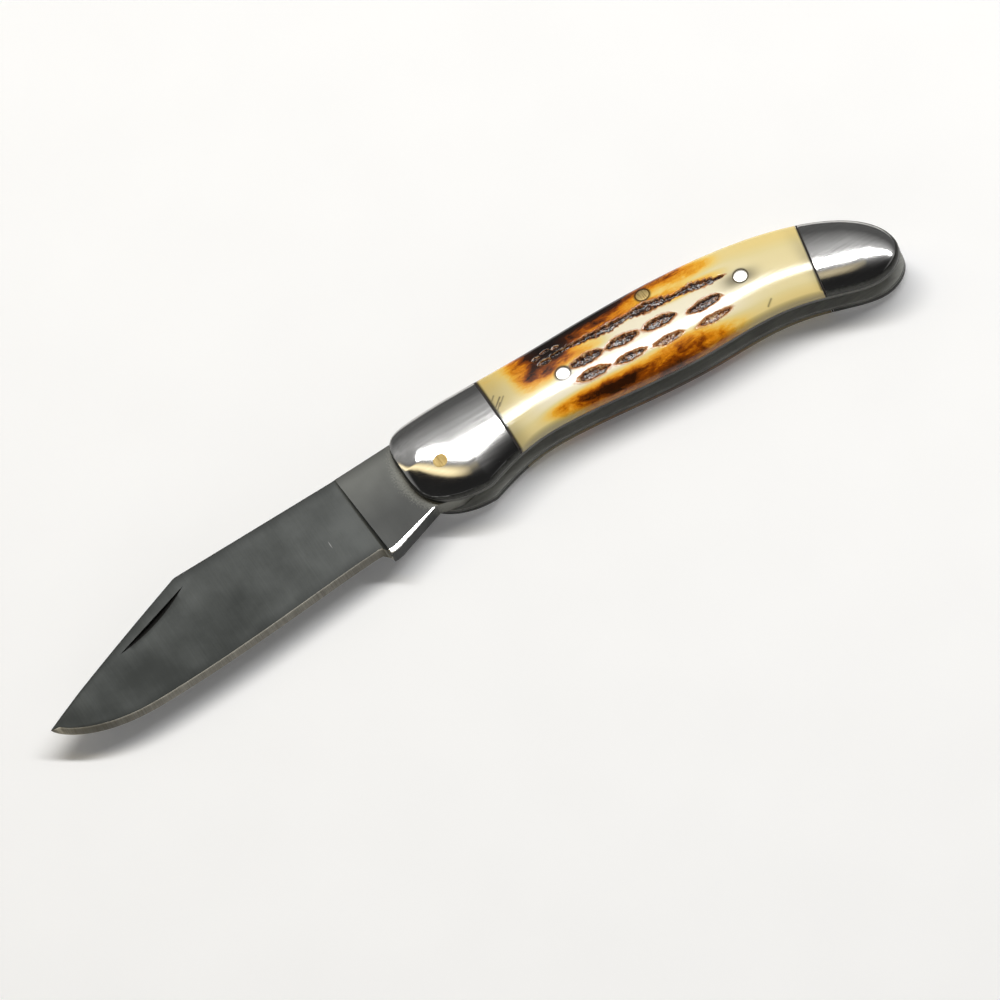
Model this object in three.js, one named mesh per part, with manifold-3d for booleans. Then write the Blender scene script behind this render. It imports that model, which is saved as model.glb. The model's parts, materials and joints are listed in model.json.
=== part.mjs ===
// A folding pocket knife: one clip-point blade, steel bolsters and jigged bone scales.
// Lengths are millimetres. X runs from the blade's tip to the butt, Y from the belly to
// the spine and Z through the thickness, from the pile side up to the mark side. The knife
// is laid out round its pivot, with the blade open, and lies on its pile side.
import * as THREE from 'three';
import { mergeVertices } from 'three/addons/utils/BufferGeometryUtils.js';
import Module from 'manifold-3d';

const wasm = await Module();
wasm.setup();

// Stock and stack, from the middle of the blade outwards
const BLADE_STOCK = 3.4;
const SLOT_CLEARANCE = 0.1;
const LINER_STOCK = 0.8;
const GLUE_LINE = 0.05;
const COVER_WALL = 0.5;
const COVER_CROWN = 2.65;
const LAND_HALF_WIDTH = 1.8;

// Handle outline, from the pivot
const NOSE_REACH = 7.65;
const NOSE_HEIGHT = 3;
const HANDLE_LENGTH = 108.45;
const SPINE_HEIGHT = 12.2;
const SPINE_HUMP = 0.65;
const SPINE_TURN = 30;
const BUTT_DROP = 10;
const HEEL_SETBACK = 7;
const HEEL_DROP = 15.7;
const SWELL_POSITION = 60;
const SWELL_DROP = 9.5;
const WAIST_POSITION = 22;
const WAIST_DROP = 6;
const BULGE_POSITION = 6;
const BULGE_DROP = 9.3;

// Fullness and squareness of the outline's quarter arcs, and the ease of its S-curves
const NOSE_TOP = [6.5, 0.3];
const NOSE_BOTTOM = [2, 0.36];
const SPINE_CORNER = [2.7, 0.53];
const BUTT_CORNER = [2, 0.5];
const SPRING_CURVE = [2, 0.5];
const EDGE_POINT = [2.3, 0.72];
const HUMP_EASE = 0.8;
const WAIST_EASE = 0.62;
const SWELL_EASE = 0.9;
const HEEL_EASE = 1.8;
const EDGE_EASE = 0.77;

// Ends of the ridge that the crowned covers fall away from
const FRONT_RIDGE_SETBACK = 8.7;
const REAR_RIDGE_SETBACK = 7.5;

// Seams between the bolsters and the scales
const FRONT_SEAM = 14.6;
const REAR_SEAM_SETBACK = 16.4;
const REAR_SEAM_ANGLE = 9.4;
const SPACER_THICKNESS = 0.4;
const SEAM_FIT = 0.05;

// Pins and rivets
const PIVOT_RADIUS = 1.6;
const SCALE_PIN_RADIUS = 1.45;
const SPRING_PIN_RADIUS = 1.4;
const REAR_PIN_RADIUS = 1.25;
const RIVET_RADIUS = 1;
const RIVET_DEPTH = 1.8;
const PIN_FIT = 0.1;
const SPRING_PIN_POSITION = 52.3;
const REAR_PIN_SETBACK = 10;
const FRONT_SCALE_PIN_POSITION = 30.2;
const FRONT_SCALE_PIN_RISE = -0.4;
const REAR_SCALE_PIN_SETBACK = 30.1;
const REAR_SCALE_PIN_RISE = 0.5;
const FRONT_RIVET_POSITION = 10.2;
const FRONT_RIVET_RISE = 0.2;
const REAR_RIVET_SETBACK = 7.2;
const REAR_RIVET_RISE = -3.7;

// Tang and backspring
const CLOSING_TURN = 170;
const TANG_FLAT = 7.3;
const TANG_FLAT_HALF = 4.6;
const CLOSED_FLAT_TOE = 2;
const TANG_FIT = 0.1;
const SHOULDER_SETBACK = 5.4;
const SHOULDER_RISE = 0.4;
const KICK_REACH = 19;
const KICK_TOE = 0.7;
const KICK_FLAT = 1.2;
const CHOIL_REACH = 5.2;
const CHOIL_DROP = 6.3;
const SPRING_FLAT_END = 24;
const SPRING_TAIL_LENGTH = 3.1;
const SPRING_TAIL_DROP = 2;

// Blade
const BLADE_REACH = 94.7;
const TIP_DROP = 3.35;
const BACK_HEIGHT = 11.3;
const CLIP_LENGTH = 37.4;
const CLIP_SWELL = 0.25;
const PLUNGE_SETBACK = 19.4;
const PLUNGE_LEAN = 1.3;
const NOTCH_LENGTH = 1.9;
const EDGE_HEEL_DROP = 8.8;
const EDGE_BELLY_DROP = 11.75;
const EDGE_BELLY_SETBACK = 22.5;
const GRIND_STEP = 0.12;
const GRIND_ANGLE = 2.7;
const BEVEL_WIDTH = 1.3;
const BEVEL_SHARE = 0.6;
const POINT_TAPER = 9;

// Nail nick, cut by a tilted disc
const NICK_LENGTH = 19;
const NICK_CENTRE = new THREE.Vector2(-66.9, 5.3);
const NICK_TURN = 17.7;
const NICK_DEPTH = 0.5;
const NICK_TILT = 25;

// Jigged grooves in the scales: rows that follow the handle's middle line
const JIG_LENGTH = 6;
const JIG_WIDTH = 2.2;
const JIG_DEPTH = 0.55;
const JIG_ROW_FALL = 0.08;
const JIG_ROWS = [
  { first: 31.5, pitch: 8.2, stretch: 0, count: 5, offset: 5.6 },
  { first: 35.7, pitch: 7.65, stretch: 0.43, count: 4, offset: 0.5 },
  { first: 35.1, pitch: 7.8, stretch: 0.45, count: 4, offset: -3.5 },
];

// Facets
const ROUND_SEGMENTS = 28;
const CROWN_RINGS = [1, 0.97, 0.89, 0.77, 0.61, 0.42, 0.2, 0];
const BLADE_STATIONS = 30;

const SLOT_HALF = BLADE_STOCK / 2 + SLOT_CLEARANCE;
const LINER_OUTER = SLOT_HALF + LINER_STOCK;
const COVER_BASE = LINER_OUTER + GLUE_LINE;
const COVER_RIM = COVER_BASE + COVER_WALL;
const COVER_TOP = COVER_RIM + COVER_CROWN;
const BUTT = HANDLE_LENGTH - NOSE_REACH;
const SPRING_UNDERSIDE = TANG_FLAT + TANG_FIT;
const radians = THREE.MathUtils.degToRad;

// Height of a full quarter arc that leaves (x0, y0) level and reaches (x1, y1) upright
function quarterHeight(x, x0, y0, x1, y1, fullness, squareness) {
  const share = THREE.MathUtils.clamp((x - x0) / (x1 - x0), 0, 1);
  return y1 + (y0 - y1) * (1 - share ** fullness) ** squareness;
}

// Points of that quarter arc, closer together where it turns
function quarterPoints(count, x0, y0, x1, y1, fullness, squareness) {
  return Array.from({ length: count }, (_, i) => {
    const angle = (i / count) * (Math.PI / 2);
    const x = x0 + (x1 - x0) * Math.sin(angle) ** (2 / fullness);
    const y = y1 + (y0 - y1) * Math.cos(angle) ** (2 * squareness);
    return new THREE.Vector2(x, y);
  });
}

// Height of an S-curve between two level points, drawn towards one of them by its ease
function easedHeight(x, x0, y0, x1, y1, ease) {
  const share = THREE.MathUtils.clamp((x - x0) / (x1 - x0), 0, 1) ** ease;
  return y0 + (y1 - y0) * share * share * (3 - 2 * share);
}

// Spine of the handle: a low hump over the bolster, level, then one long fall to the butt
const humpTop = SPINE_HEIGHT + SPINE_HUMP;
function spineHeight(x) {
  if (x < BULGE_POSITION) {
    return quarterHeight(x, BULGE_POSITION, humpTop, -NOSE_REACH, NOSE_HEIGHT, ...NOSE_TOP);
  }
  if (x < SPINE_TURN) {
    return easedHeight(x, BULGE_POSITION, humpTop, SPINE_TURN, SPINE_HEIGHT, HUMP_EASE);
  }
  return quarterHeight(x, SPINE_TURN, SPINE_HEIGHT, BUTT, -BUTT_DROP, ...SPINE_CORNER);
}

// Belly of the handle: bulge under the pivot, waist, swell and drooping heel
const heel = BUTT - HEEL_SETBACK;
function bellyHeight(x) {
  if (x < BULGE_POSITION) {
    return quarterHeight(x, BULGE_POSITION, -BULGE_DROP, -NOSE_REACH, NOSE_HEIGHT, ...NOSE_BOTTOM);
  }
  if (x < WAIST_POSITION) {
    return easedHeight(x, BULGE_POSITION, -BULGE_DROP, WAIST_POSITION, -WAIST_DROP, WAIST_EASE);
  }
  if (x < SWELL_POSITION) {
    return easedHeight(x, WAIST_POSITION, -WAIST_DROP, SWELL_POSITION, -SWELL_DROP, SWELL_EASE);
  }
  if (x < heel) {
    return easedHeight(x, SWELL_POSITION, -SWELL_DROP, heel, -HEEL_DROP, HEEL_EASE);
  }
  return quarterHeight(x, heel, -HEEL_DROP, BUTT, -BUTT_DROP, ...BUTT_CORNER);
}

// Points at even steps of x on a height function, without the last
function steps(count, from, to, height) {
  return Array.from({ length: count }, (_, i) => {
    const x = THREE.MathUtils.lerp(from, to, i / count);
    return new THREE.Vector2(x, height(x));
  });
}

// The handle's outline, counter-clockwise from the bulge along the belly to the butt
const handleOutline = [
  ...steps(10, BULGE_POSITION, WAIST_POSITION, bellyHeight),
  ...steps(8, WAIST_POSITION, SWELL_POSITION, bellyHeight),
  ...steps(8, SWELL_POSITION, heel, bellyHeight),
  ...quarterPoints(7, heel, -HEEL_DROP, BUTT, -BUTT_DROP, ...BUTT_CORNER),
  new THREE.Vector2(BUTT, -BUTT_DROP),
  ...quarterPoints(16, SPINE_TURN, SPINE_HEIGHT, BUTT, -BUTT_DROP, ...SPINE_CORNER).reverse(),
  ...steps(4, SPINE_TURN, BULGE_POSITION, spineHeight).slice(1),
  ...quarterPoints(10, BULGE_POSITION, humpTop, -NOSE_REACH, NOSE_HEIGHT, ...NOSE_TOP),
  new THREE.Vector2(-NOSE_REACH, NOSE_HEIGHT),
  ...quarterPoints(9, BULGE_POSITION, -BULGE_DROP, -NOSE_REACH, NOSE_HEIGHT, ...NOSE_BOTTOM)
    .slice(1)
    .reverse(),
];

function middleHeight(x) {
  return (spineHeight(x) + bellyHeight(x)) / 2;
}

// Point of the covers' ridge that a point of the outline falls away from
function ridgePoint(point) {
  const first = FRONT_RIDGE_SETBACK - NOSE_REACH;
  const x = THREE.MathUtils.clamp(point.x, first, BUTT - REAR_RIDGE_SETBACK);
  return new THREE.Vector2(x, middleHeight(x));
}

// Height of the crown at a share of the way from its flat land (0) to its rim (1)
const CROWN_ROUNDNESS = 2.2;
function crownHeight(share) {
  return COVER_RIM + COVER_CROWN * (1 - share ** CROWN_ROUNDNESS) ** (1 / CROWN_ROUNDNESS);
}

// Height of the cover's surface over a point between the ends of the ridge
function coverHeight(point) {
  const middle = middleHeight(point.x);
  const reach = spineHeight(point.x) - middle;
  const share = (Math.abs(point.y - middle) - LAND_HALF_WIDTH) / (reach - LAND_HALF_WIDTH);
  return crownHeight(THREE.MathUtils.clamp(share, 0, 1));
}

// One ring of the crowned cover, drawn in from the outline
function coverRing(share) {
  return handleOutline.map((point) => {
    const ridge = ridgePoint(point);
    const land = point.clone().sub(ridge).setLength(LAND_HALF_WIDTH).add(ridge);
    const flat = land.lerp(point, share);
    return new THREE.Vector3(flat.x, flat.y, crownHeight(share));
  });
}

function outlineRing(outline, z) {
  return outline.map((point) => new THREE.Vector3(point.x, point.y, z));
}

// A closed body through a stack of rings that have as many points each. A ring of one
// point is an apex, and the first and last rings are closed by faces across them.
function stackedBody(rings, flatten) {
  const positions = rings.flat().flatMap((point) => point.toArray());
  const index = [];
  const width = rings[0].length;
  for (let level = 0; level + 1 < rings.length; level += 1) {
    const low = level * width;
    const high = low + width;
    const apex = rings[level + 1].length === 1;
    for (let i = 0; i < width; i += 1) {
      const next = (i + 1) % width;
      if (apex) {
        index.push(low + i, low + next, high);
      } else {
        index.push(low + i, low + next, high + next, low + i, high + next, high + i);
      }
    }
  }
  const cap = (ring, start, turned) => {
    if (ring.length < 3) return;
    for (const [a, b, c] of THREE.ShapeUtils.triangulateShape(ring.map(flatten), [])) {
      index.push(start + a, start + (turned ? c : b), start + (turned ? b : c));
    }
  };
  cap(rings[0], 0, true);
  cap(rings.at(-1), (rings.length - 1) * width, false);
  const geometry = new THREE.BufferGeometry();
  geometry.setAttribute('position', new THREE.Float32BufferAttribute(positions, 3));
  geometry.setIndex(index);
  return geometry;
}

const seenFromAbove = (point) => new THREE.Vector2(point.x, point.y);

// The same body on the pile side
function mirrored(geometry) {
  const copy = geometry.clone();
  copy.scale(1, 1, -1);
  const index = copy.getIndex().array;
  for (let i = 0; i < index.length; i += 3) {
    [index[i + 1], index[i + 2]] = [index[i + 2], index[i + 1]];
  }
  return copy;
}

function solid(geometry) {
  const bare = geometry.clone();
  bare.deleteAttribute('normal');
  bare.deleteAttribute('uv');
  const merged = mergeVertices(bare, 1e-5);
  return new wasm.Manifold(new wasm.Mesh({
    numProp: 3,
    vertProperties: Float32Array.from(merged.getAttribute('position').array),
    triVerts: Uint32Array.from(merged.getIndex().array),
  }));
}

function geometryOf(manifold) {
  const mesh = manifold.getMesh();
  const geometry = new THREE.BufferGeometry();
  geometry.setAttribute('position', new THREE.BufferAttribute(mesh.vertProperties, 3));
  geometry.setIndex(new THREE.BufferAttribute(mesh.triVerts, 1));
  geometry.computeVertexNormals();
  return geometry;
}

function without(body, ...cuts) {
  return cuts.reduce((left, cut) => left.subtract(cut), body);
}

// A plate of the given outline and holes, between two heights
function plate(outline, holes, bottom, top) {
  const shape = new THREE.Shape(outline);
  for (const { centre, radius } of holes) {
    const circle = new THREE.Path().absarc(centre.x, centre.y, radius, 0, Math.PI * 2, true);
    shape.holes.push(new THREE.Path(circle.getPoints(ROUND_SEGMENTS / 2).slice(0, -1)));
  }
  const geometry = new THREE.ExtrudeGeometry(shape, { depth: top - bottom, bevelEnabled: false });
  return geometry.translate(0, 0, bottom);
}

function cylinder(centre, radius, bottom, top) {
  const geometry = new THREE.CylinderGeometry(radius, radius, top - bottom, ROUND_SEGMENTS);
  geometry.rotateX(Math.PI / 2);
  return solid(geometry.translate(centre.x, centre.y, (top + bottom) / 2));
}

// Underside of the backspring: flat over the tang, then falling with the spine
const springTail = new THREE.Vector2(BUTT - SPRING_TAIL_LENGTH, -BUTT_DROP - SPRING_TAIL_DROP);
function springUnderside(x) {
  if (x < SPRING_FLAT_END) return SPRING_UNDERSIDE;
  return quarterHeight(
    x, SPRING_FLAT_END, SPRING_UNDERSIDE, springTail.x, springTail.y, ...SPRING_CURVE,
  );
}

// Where each pin stands. It reaches the covers' surface, or as far from the middle as stated.
const springMiddle = (x) => new THREE.Vector2(x, (spineHeight(x) + springUnderside(x)) / 2);
const pinAt = (centre, radius, reach = 2 * COVER_TOP) => ({ centre, radius, reach });
const pivot = pinAt(new THREE.Vector2(0, 0), PIVOT_RADIUS);
const springPin = pinAt(springMiddle(SPRING_PIN_POSITION), SPRING_PIN_RADIUS);
const rearPin = pinAt(springMiddle(BUTT - REAR_PIN_SETBACK), REAR_PIN_RADIUS);
const nearMiddle = (x, rise) => new THREE.Vector2(x, middleHeight(x) + rise);
const frontScalePin = pinAt(
  nearMiddle(FRONT_SCALE_PIN_POSITION, FRONT_SCALE_PIN_RISE), SCALE_PIN_RADIUS,
);
const rearScalePin = pinAt(
  nearMiddle(BUTT - REAR_SCALE_PIN_SETBACK, REAR_SCALE_PIN_RISE), SCALE_PIN_RADIUS,
);
const rivetReach = COVER_BASE + RIVET_DEPTH;
const frontRivet = pinAt(
  nearMiddle(FRONT_RIVET_POSITION, FRONT_RIVET_RISE), RIVET_RADIUS, rivetReach,
);
const rearRivet = pinAt(
  nearMiddle(BUTT - REAR_RIVET_SETBACK, REAR_RIVET_RISE), RIVET_RADIUS, rivetReach,
);
const bored = ({ centre, radius, reach }) => pinAt(centre, radius + PIN_FIT, reach + PIN_FIT);

// Blade

const tip = new THREE.Vector2(-BLADE_REACH, -TIP_DROP);
const clipStart = new THREE.Vector2(CLIP_LENGTH - BLADE_REACH, BACK_HEIGHT);
const plungeTop = -PLUNGE_SETBACK;
const whenClosed = (x, y) => new THREE.Vector2(x, y)
  .rotateAround(new THREE.Vector2(), radians(-CLOSING_TURN));
const kick = whenClosed(KICK_REACH, TANG_FLAT);
const kickToe = new THREE.Vector2(kick.x - KICK_TOE, kick.y);
const plungeFoot = Math.min(plungeTop + PLUNGE_LEAN, kickToe.x);

// Back of the blade: straight, then the clip with a slight swell
function backHeight(x) {
  if (x > clipStart.x) return BACK_HEIGHT;
  const share = (clipStart.x - x) / CLIP_LENGTH;
  return THREE.MathUtils.lerp(BACK_HEIGHT, tip.y, share) + CLIP_SWELL * Math.sin(Math.PI * share);
}

// Edge of the blade: a short rise in front of the kick, a long shallow run and the belly
const edgeHeel = kickToe.x - NOTCH_LENGTH;
const edgeBelly = tip.x + EDGE_BELLY_SETBACK;
function edgeHeight(x) {
  if (x > edgeHeel) {
    return easedHeight(x, edgeHeel, -EDGE_HEEL_DROP, kickToe.x, kickToe.y, 1);
  }
  if (x > edgeBelly) {
    return easedHeight(x, edgeHeel, -EDGE_HEEL_DROP, edgeBelly, -EDGE_BELLY_DROP, EDGE_EASE);
  }
  return quarterHeight(x, edgeBelly, -EDGE_BELLY_DROP, tip.x, tip.y, ...EDGE_POINT);
}

// Half thickness of the ground blade: flat from the back, thinned to the point
function grindHalf(x, y) {
  const flat = BLADE_STOCK / 2 - GRIND_STEP - (BACK_HEIGHT - y) * Math.tan(radians(GRIND_ANGLE));
  return flat * Math.min(1, Math.sqrt((x - tip.x) / POINT_TAPER));
}

// Ground part of the blade, lofted through five-sided sections up to the point
function groundBlade() {
  const root = plungeFoot + GRIND_STEP;
  const sections = Array.from({ length: BLADE_STATIONS }, (_, i) => {
    const share = Math.sin((i / BLADE_STATIONS) * (Math.PI / 2));
    const x = THREE.MathUtils.lerp(root, tip.x, share);
    const back = backHeight(x);
    const edge = edgeHeight(x);
    const slope = (edgeHeight(x - 0.05) - edgeHeight(x + 0.05)) / 0.1;
    const bevel = Math.min(BEVEL_WIDTH * Math.hypot(1, slope), (back - edge) * BEVEL_SHARE);
    const shoulder = edge + bevel;
    const backHalf = grindHalf(x, back);
    const shoulderHalf = grindHalf(x, shoulder);
    return [
      new THREE.Vector3(x, back, -backHalf),
      new THREE.Vector3(x, shoulder, -shoulderHalf),
      new THREE.Vector3(x, edge, 0),
      new THREE.Vector3(x, shoulder, shoulderHalf),
      new THREE.Vector3(x, back, backHalf),
    ];
  });
  sections.push([new THREE.Vector3(tip.x, tip.y, 0)]);
  return stackedBody(sections, (point) => new THREE.Vector2(point.z, point.y));
}

// Tang with its three flats, for open, half stop and closed, and the kick's own flat
function tangOutline() {
  return [
    new THREE.Vector2(plungeFoot, kickToe.y),
    kick,
    whenClosed(KICK_REACH - KICK_FLAT, TANG_FLAT),
    new THREE.Vector2(-CHOIL_REACH, -CHOIL_DROP),
    whenClosed(CLOSED_FLAT_TOE, TANG_FLAT),
    whenClosed(-TANG_FLAT_HALF, TANG_FLAT),
    new THREE.Vector2(TANG_FLAT, -TANG_FLAT_HALF),
    new THREE.Vector2(TANG_FLAT, TANG_FLAT_HALF),
    new THREE.Vector2(TANG_FLAT_HALF, TANG_FLAT),
    new THREE.Vector2(-SHOULDER_SETBACK, TANG_FLAT),
    new THREE.Vector2(-SHOULDER_SETBACK, BACK_HEIGHT + SHOULDER_RISE),
    new THREE.Vector2(plungeTop, BACK_HEIGHT),
  ];
}

// A disc cutter's path across the mark face of the blade
function nickCutter() {
  const slant = NICK_DEPTH / Math.cos(radians(NICK_TILT));
  const radius = ((NICK_LENGTH / 2) ** 2 + slant ** 2) / (2 * slant);
  const width = 3 * BLADE_STOCK;
  const disc = new THREE.CylinderGeometry(radius, radius, width, 8 * ROUND_SEGMENTS);
  disc.rotateZ(Math.PI);
  disc.translate(0, -width / 2, radius - slant);
  disc.rotateX(-radians(NICK_TILT));
  disc.rotateZ(radians(NICK_TURN));
  const face = grindHalf(NICK_CENTRE.x, NICK_CENTRE.y);
  return solid(disc.translate(NICK_CENTRE.x, NICK_CENTRE.y, face));
}

function bladeSolid() {
  const tang = solid(plate(tangOutline(), [bored(pivot)], -BLADE_STOCK / 2, BLADE_STOCK / 2));
  return solid(groundBlade()).add(tang).subtract(nickCutter());
}

// Backspring: flush with the spine, square against the tang's shoulder
function springOutline() {
  const front = TANG_FIT - SHOULDER_SETBACK;
  const top = quarterPoints(16, SPINE_TURN, SPINE_HEIGHT, BUTT, -BUTT_DROP, ...SPINE_CORNER);
  const under = quarterPoints(
    14, SPRING_FLAT_END, SPRING_UNDERSIDE, springTail.x, springTail.y, ...SPRING_CURVE,
  );
  return [
    new THREE.Vector2(front, SPRING_UNDERSIDE),
    ...under,
    springTail,
    new THREE.Vector2(BUTT, -BUTT_DROP),
    ...top.reverse(),
    ...steps(4, SPINE_TURN, BULGE_POSITION, spineHeight).slice(1),
    new THREE.Vector2(BULGE_POSITION, humpTop),
    new THREE.Vector2(front, spineHeight(front)),
  ];
}

// Covers: one crowned body a side, cut at the seams into bolsters, spacers and a scale

const crownRings = CROWN_RINGS.map(coverRing);
const coverBody = stackedBody([outlineRing(handleOutline, COVER_BASE), ...crownRings], seenFromAbove);
const flipped = (ring) => ring.map((point) => new THREE.Vector3(point.x, point.y, -point.z));
const handleEnvelope = solid(
  stackedBody([...crownRings.map(flipped).reverse(), ...crownRings], seenFromAbove),
);

// A tall block between two seams, each a place along X and an angle from upright in degrees
function slice(from, to) {
  const tall = 4 * SPINE_HEIGHT;
  const edge = (seam, side) => {
    const sideways = side * Math.tan(radians(seam.angle)) * tall;
    return new THREE.Vector2(seam.x + sideways, side * tall + seam.y);
  };
  const outline = [edge(from, -1), edge(to, -1), edge(to, 1), edge(from, 1)];
  return solid(plate(outline, [], -2 * COVER_TOP, 2 * COVER_TOP));
}

const spacerHalf = SPACER_THICKNESS / 2;
const seamAt = (x, angle, offset) => ({ x: x + offset, y: middleHeight(x), angle });
const frontSeam = (offset) => seamAt(FRONT_SEAM, 0, offset);
const rearSeam = (offset) => seamAt(BUTT - REAR_SEAM_SETBACK, REAR_SEAM_ANGLE, offset);
const beyondNose = { x: -2 * NOSE_REACH, y: 0, angle: 0 };
const beyondButt = { x: BUTT + NOSE_REACH, y: 0, angle: 0 };
const coverSlices = {
  front_bolster: slice(beyondNose, frontSeam(-spacerHalf - SEAM_FIT)),
  front_spacer: slice(frontSeam(-spacerHalf), frontSeam(spacerHalf)),
  scale: slice(frontSeam(spacerHalf + SEAM_FIT), rearSeam(-spacerHalf - SEAM_FIT)),
  rear_spacer: slice(rearSeam(-spacerHalf), rearSeam(spacerHalf)),
  rear_bolster: slice(rearSeam(spacerHalf + SEAM_FIT), beyondButt),
};
const coverPins = {
  front_bolster: [pivot, frontRivet],
  front_spacer: [],
  scale: [springPin, frontScalePin, rearScalePin],
  rear_spacer: [],
  rear_bolster: [rearPin, rearRivet],
};

// Scoops of the jigged grooves, cut into the crown along rows that follow the handle
function jigCutters(side) {
  return JIG_ROWS.flatMap((row) => Array.from({ length: row.count }, (_, i) => {
    const along = i * (row.pitch + i * row.stretch);
    const x = row.first + along;
    const centre = new THREE.Vector2(x, middleHeight(x) + row.offset - JIG_ROW_FALL * along);
    const scoop = new THREE.SphereGeometry(1, 12, 6);
    scoop.scale(JIG_LENGTH / 2, JIG_WIDTH / 2, JIG_DEPTH);
    const climb = middleHeight(x + 1) - middleHeight(x) - JIG_ROW_FALL;
    scoop.rotateZ(Math.atan(climb));
    return solid(scoop.translate(centre.x, centre.y, side * coverHeight(centre)));
  }));
}

const sides = { mark: 1, pile: -1 };

function coverPiece(side, name) {
  const body = solid(side === 'mark' ? coverBody : mirrored(coverBody));
  const holes = coverPins[name].map(bored)
    .map(({ centre, radius, reach }) => cylinder(centre, radius, -reach, reach));
  const grooves = name === 'scale' ? jigCutters(sides[side]) : [];
  return without(body.intersect(coverSlices[name]), ...holes, ...grooves);
}

// Pins: ground flush with the covers. Short ones end at the liner's inner face, and the
// bolsters' rivets are blind.
function throughPin({ centre, radius, reach }) {
  return cylinder(centre, radius, -reach, reach).intersect(handleEnvelope);
}

function shortPin(side, { centre, radius, reach }) {
  const ends = [sides[side] * SLOT_HALF, sides[side] * reach].sort((a, b) => a - b);
  return cylinder(centre, radius, ...ends).intersect(handleEnvelope);
}

// Finishes
const satinSteel = { color: 0x6a6c6b, roughness: 0.35, metalness: 1 };
const polishedSteel = { color: 0xa9aaa8, roughness: 0.2, metalness: 1 };
const springSteel = { color: 0x7a7c7c, roughness: 0.4, metalness: 1 };
const brass = { color: 0xd9b765, roughness: 0.3, metalness: 1 };
const nickelSilver = { color: 0xd8d8d4, roughness: 0.25, metalness: 1 };
const bone = { color: 0xdccf9c, roughness: 0.35, metalness: 0 };
const fibre = { color: 0x1a1714, roughness: 0.7, metalness: 0 };

function node(name, geometry, finish) {
  const mesh = new THREE.Mesh(geometry, new THREE.MeshStandardMaterial(finish));
  mesh.name = name;
  return mesh;
}

const handle = new THREE.Group();
const allPins = [
  pivot, springPin, rearPin, frontScalePin, rearScalePin, frontRivet, rearRivet,
].map(bored);
const coverFinish = {
  front_bolster: polishedSteel,
  front_spacer: fibre,
  scale: bone,
  rear_spacer: fibre,
  rear_bolster: polishedSteel,
};
for (const side of ['mark', 'pile']) {
  const faces = [SLOT_HALF, LINER_OUTER].map((z) => z * sides[side]).sort((a, b) => a - b);
  handle.add(node(`${side}_liner`, plate(handleOutline, allPins, ...faces), springSteel));
  for (const name of Object.keys(coverSlices)) {
    handle.add(node(`${side}_${name}`, geometryOf(coverPiece(side, name)), coverFinish[name]));
  }
  const shortPins = {
    front_scale_pin: [frontScalePin, nickelSilver],
    rear_scale_pin: [rearScalePin, nickelSilver],
    front_rivet: [frontRivet, polishedSteel],
    rear_rivet: [rearRivet, polishedSteel],
  };
  for (const [name, [pin, finish]] of Object.entries(shortPins)) {
    handle.add(node(`${side}_${name}`, geometryOf(shortPin(side, pin)), finish));
  }
}
const springHalf = BLADE_STOCK / 2;
const springBody = plate(springOutline(), [springPin, rearPin].map(bored), -springHalf, springHalf);
handle.add(node('backspring', springBody, springSteel));
handle.add(node('pivot_pin', geometryOf(throughPin(pivot)), brass));
handle.add(node('spring_pin', geometryOf(throughPin(springPin)), brass));
handle.add(node('rear_spring_pin', geometryOf(throughPin(rearPin)), polishedSteel));

const knife = new THREE.Group();
knife.add(handle, node('blade', geometryOf(bladeSolid()), satinSteel));

// The part stands on the lowest point of its pile side, over the middle of its box
const box = new THREE.Box3().setFromObject(knife, true);
const middle = box.getCenter(new THREE.Vector3());
knife.position.set(-middle.x, -middle.y, -box.min.z);

export default knife;
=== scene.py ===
"""Finished look of a folding pocket knife: clip-point blade, steel bolsters, jigged bone.

Shapes are laid out in millimetres round the blade's pivot: X runs from the blade's tip to
the butt, Y from the belly to the spine and Z from the pile side to the mark side, with the
middle of the blade at zero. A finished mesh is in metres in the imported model's frame.
"""
import json
import logging
import math
from dataclasses import dataclass, field
from enum import Enum
from typing import Any, Sequence

import bmesh
import bpy
import numpy as np
from bpy.types import ID, Material, Mesh, Node, NodeSocket, NodeTree, Object
from mathutils import Matrix, Vector


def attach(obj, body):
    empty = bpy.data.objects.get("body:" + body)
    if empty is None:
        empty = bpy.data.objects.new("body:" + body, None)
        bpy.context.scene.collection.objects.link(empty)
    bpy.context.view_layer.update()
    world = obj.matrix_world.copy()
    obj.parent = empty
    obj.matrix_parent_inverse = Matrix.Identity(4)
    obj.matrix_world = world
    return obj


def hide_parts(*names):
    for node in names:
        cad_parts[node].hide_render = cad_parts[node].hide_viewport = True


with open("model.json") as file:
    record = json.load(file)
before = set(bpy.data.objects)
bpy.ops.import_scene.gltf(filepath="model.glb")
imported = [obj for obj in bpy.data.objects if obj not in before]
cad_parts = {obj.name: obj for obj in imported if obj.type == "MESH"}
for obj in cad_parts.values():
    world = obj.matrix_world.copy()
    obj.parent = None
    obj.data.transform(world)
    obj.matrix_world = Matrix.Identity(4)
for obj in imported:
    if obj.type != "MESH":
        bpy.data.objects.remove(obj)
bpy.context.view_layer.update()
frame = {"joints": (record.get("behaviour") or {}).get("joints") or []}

log = logging.getLogger("pocket_knife")
Array = np.ndarray
MM = 0.001
PIVOT = np.array(frame["joints"][0]["pos_m"], float)


# ---------------------------------------------------------------------------- curves


def quarter_arc(x: Array, x0: float, y0: float, x1: float, y1: float,
                fullness: float, squareness: float) -> Array:
    """Height of a full quarter arc that leaves (x0, y0) level and reaches (x1, y1) upright.

    Args:
        x: Places along the arc.
        x0, y0: Level end.
        x1, y1: Upright end.
        fullness: Power of the share along.
        squareness: Power of what is left of it.

    Returns:
        Heights, one for each place.
    """
    share = np.clip((np.asarray(x, float) - x0) / (x1 - x0), 0, 1)
    return y1 + (y0 - y1) * (1 - share ** fullness) ** squareness


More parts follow.
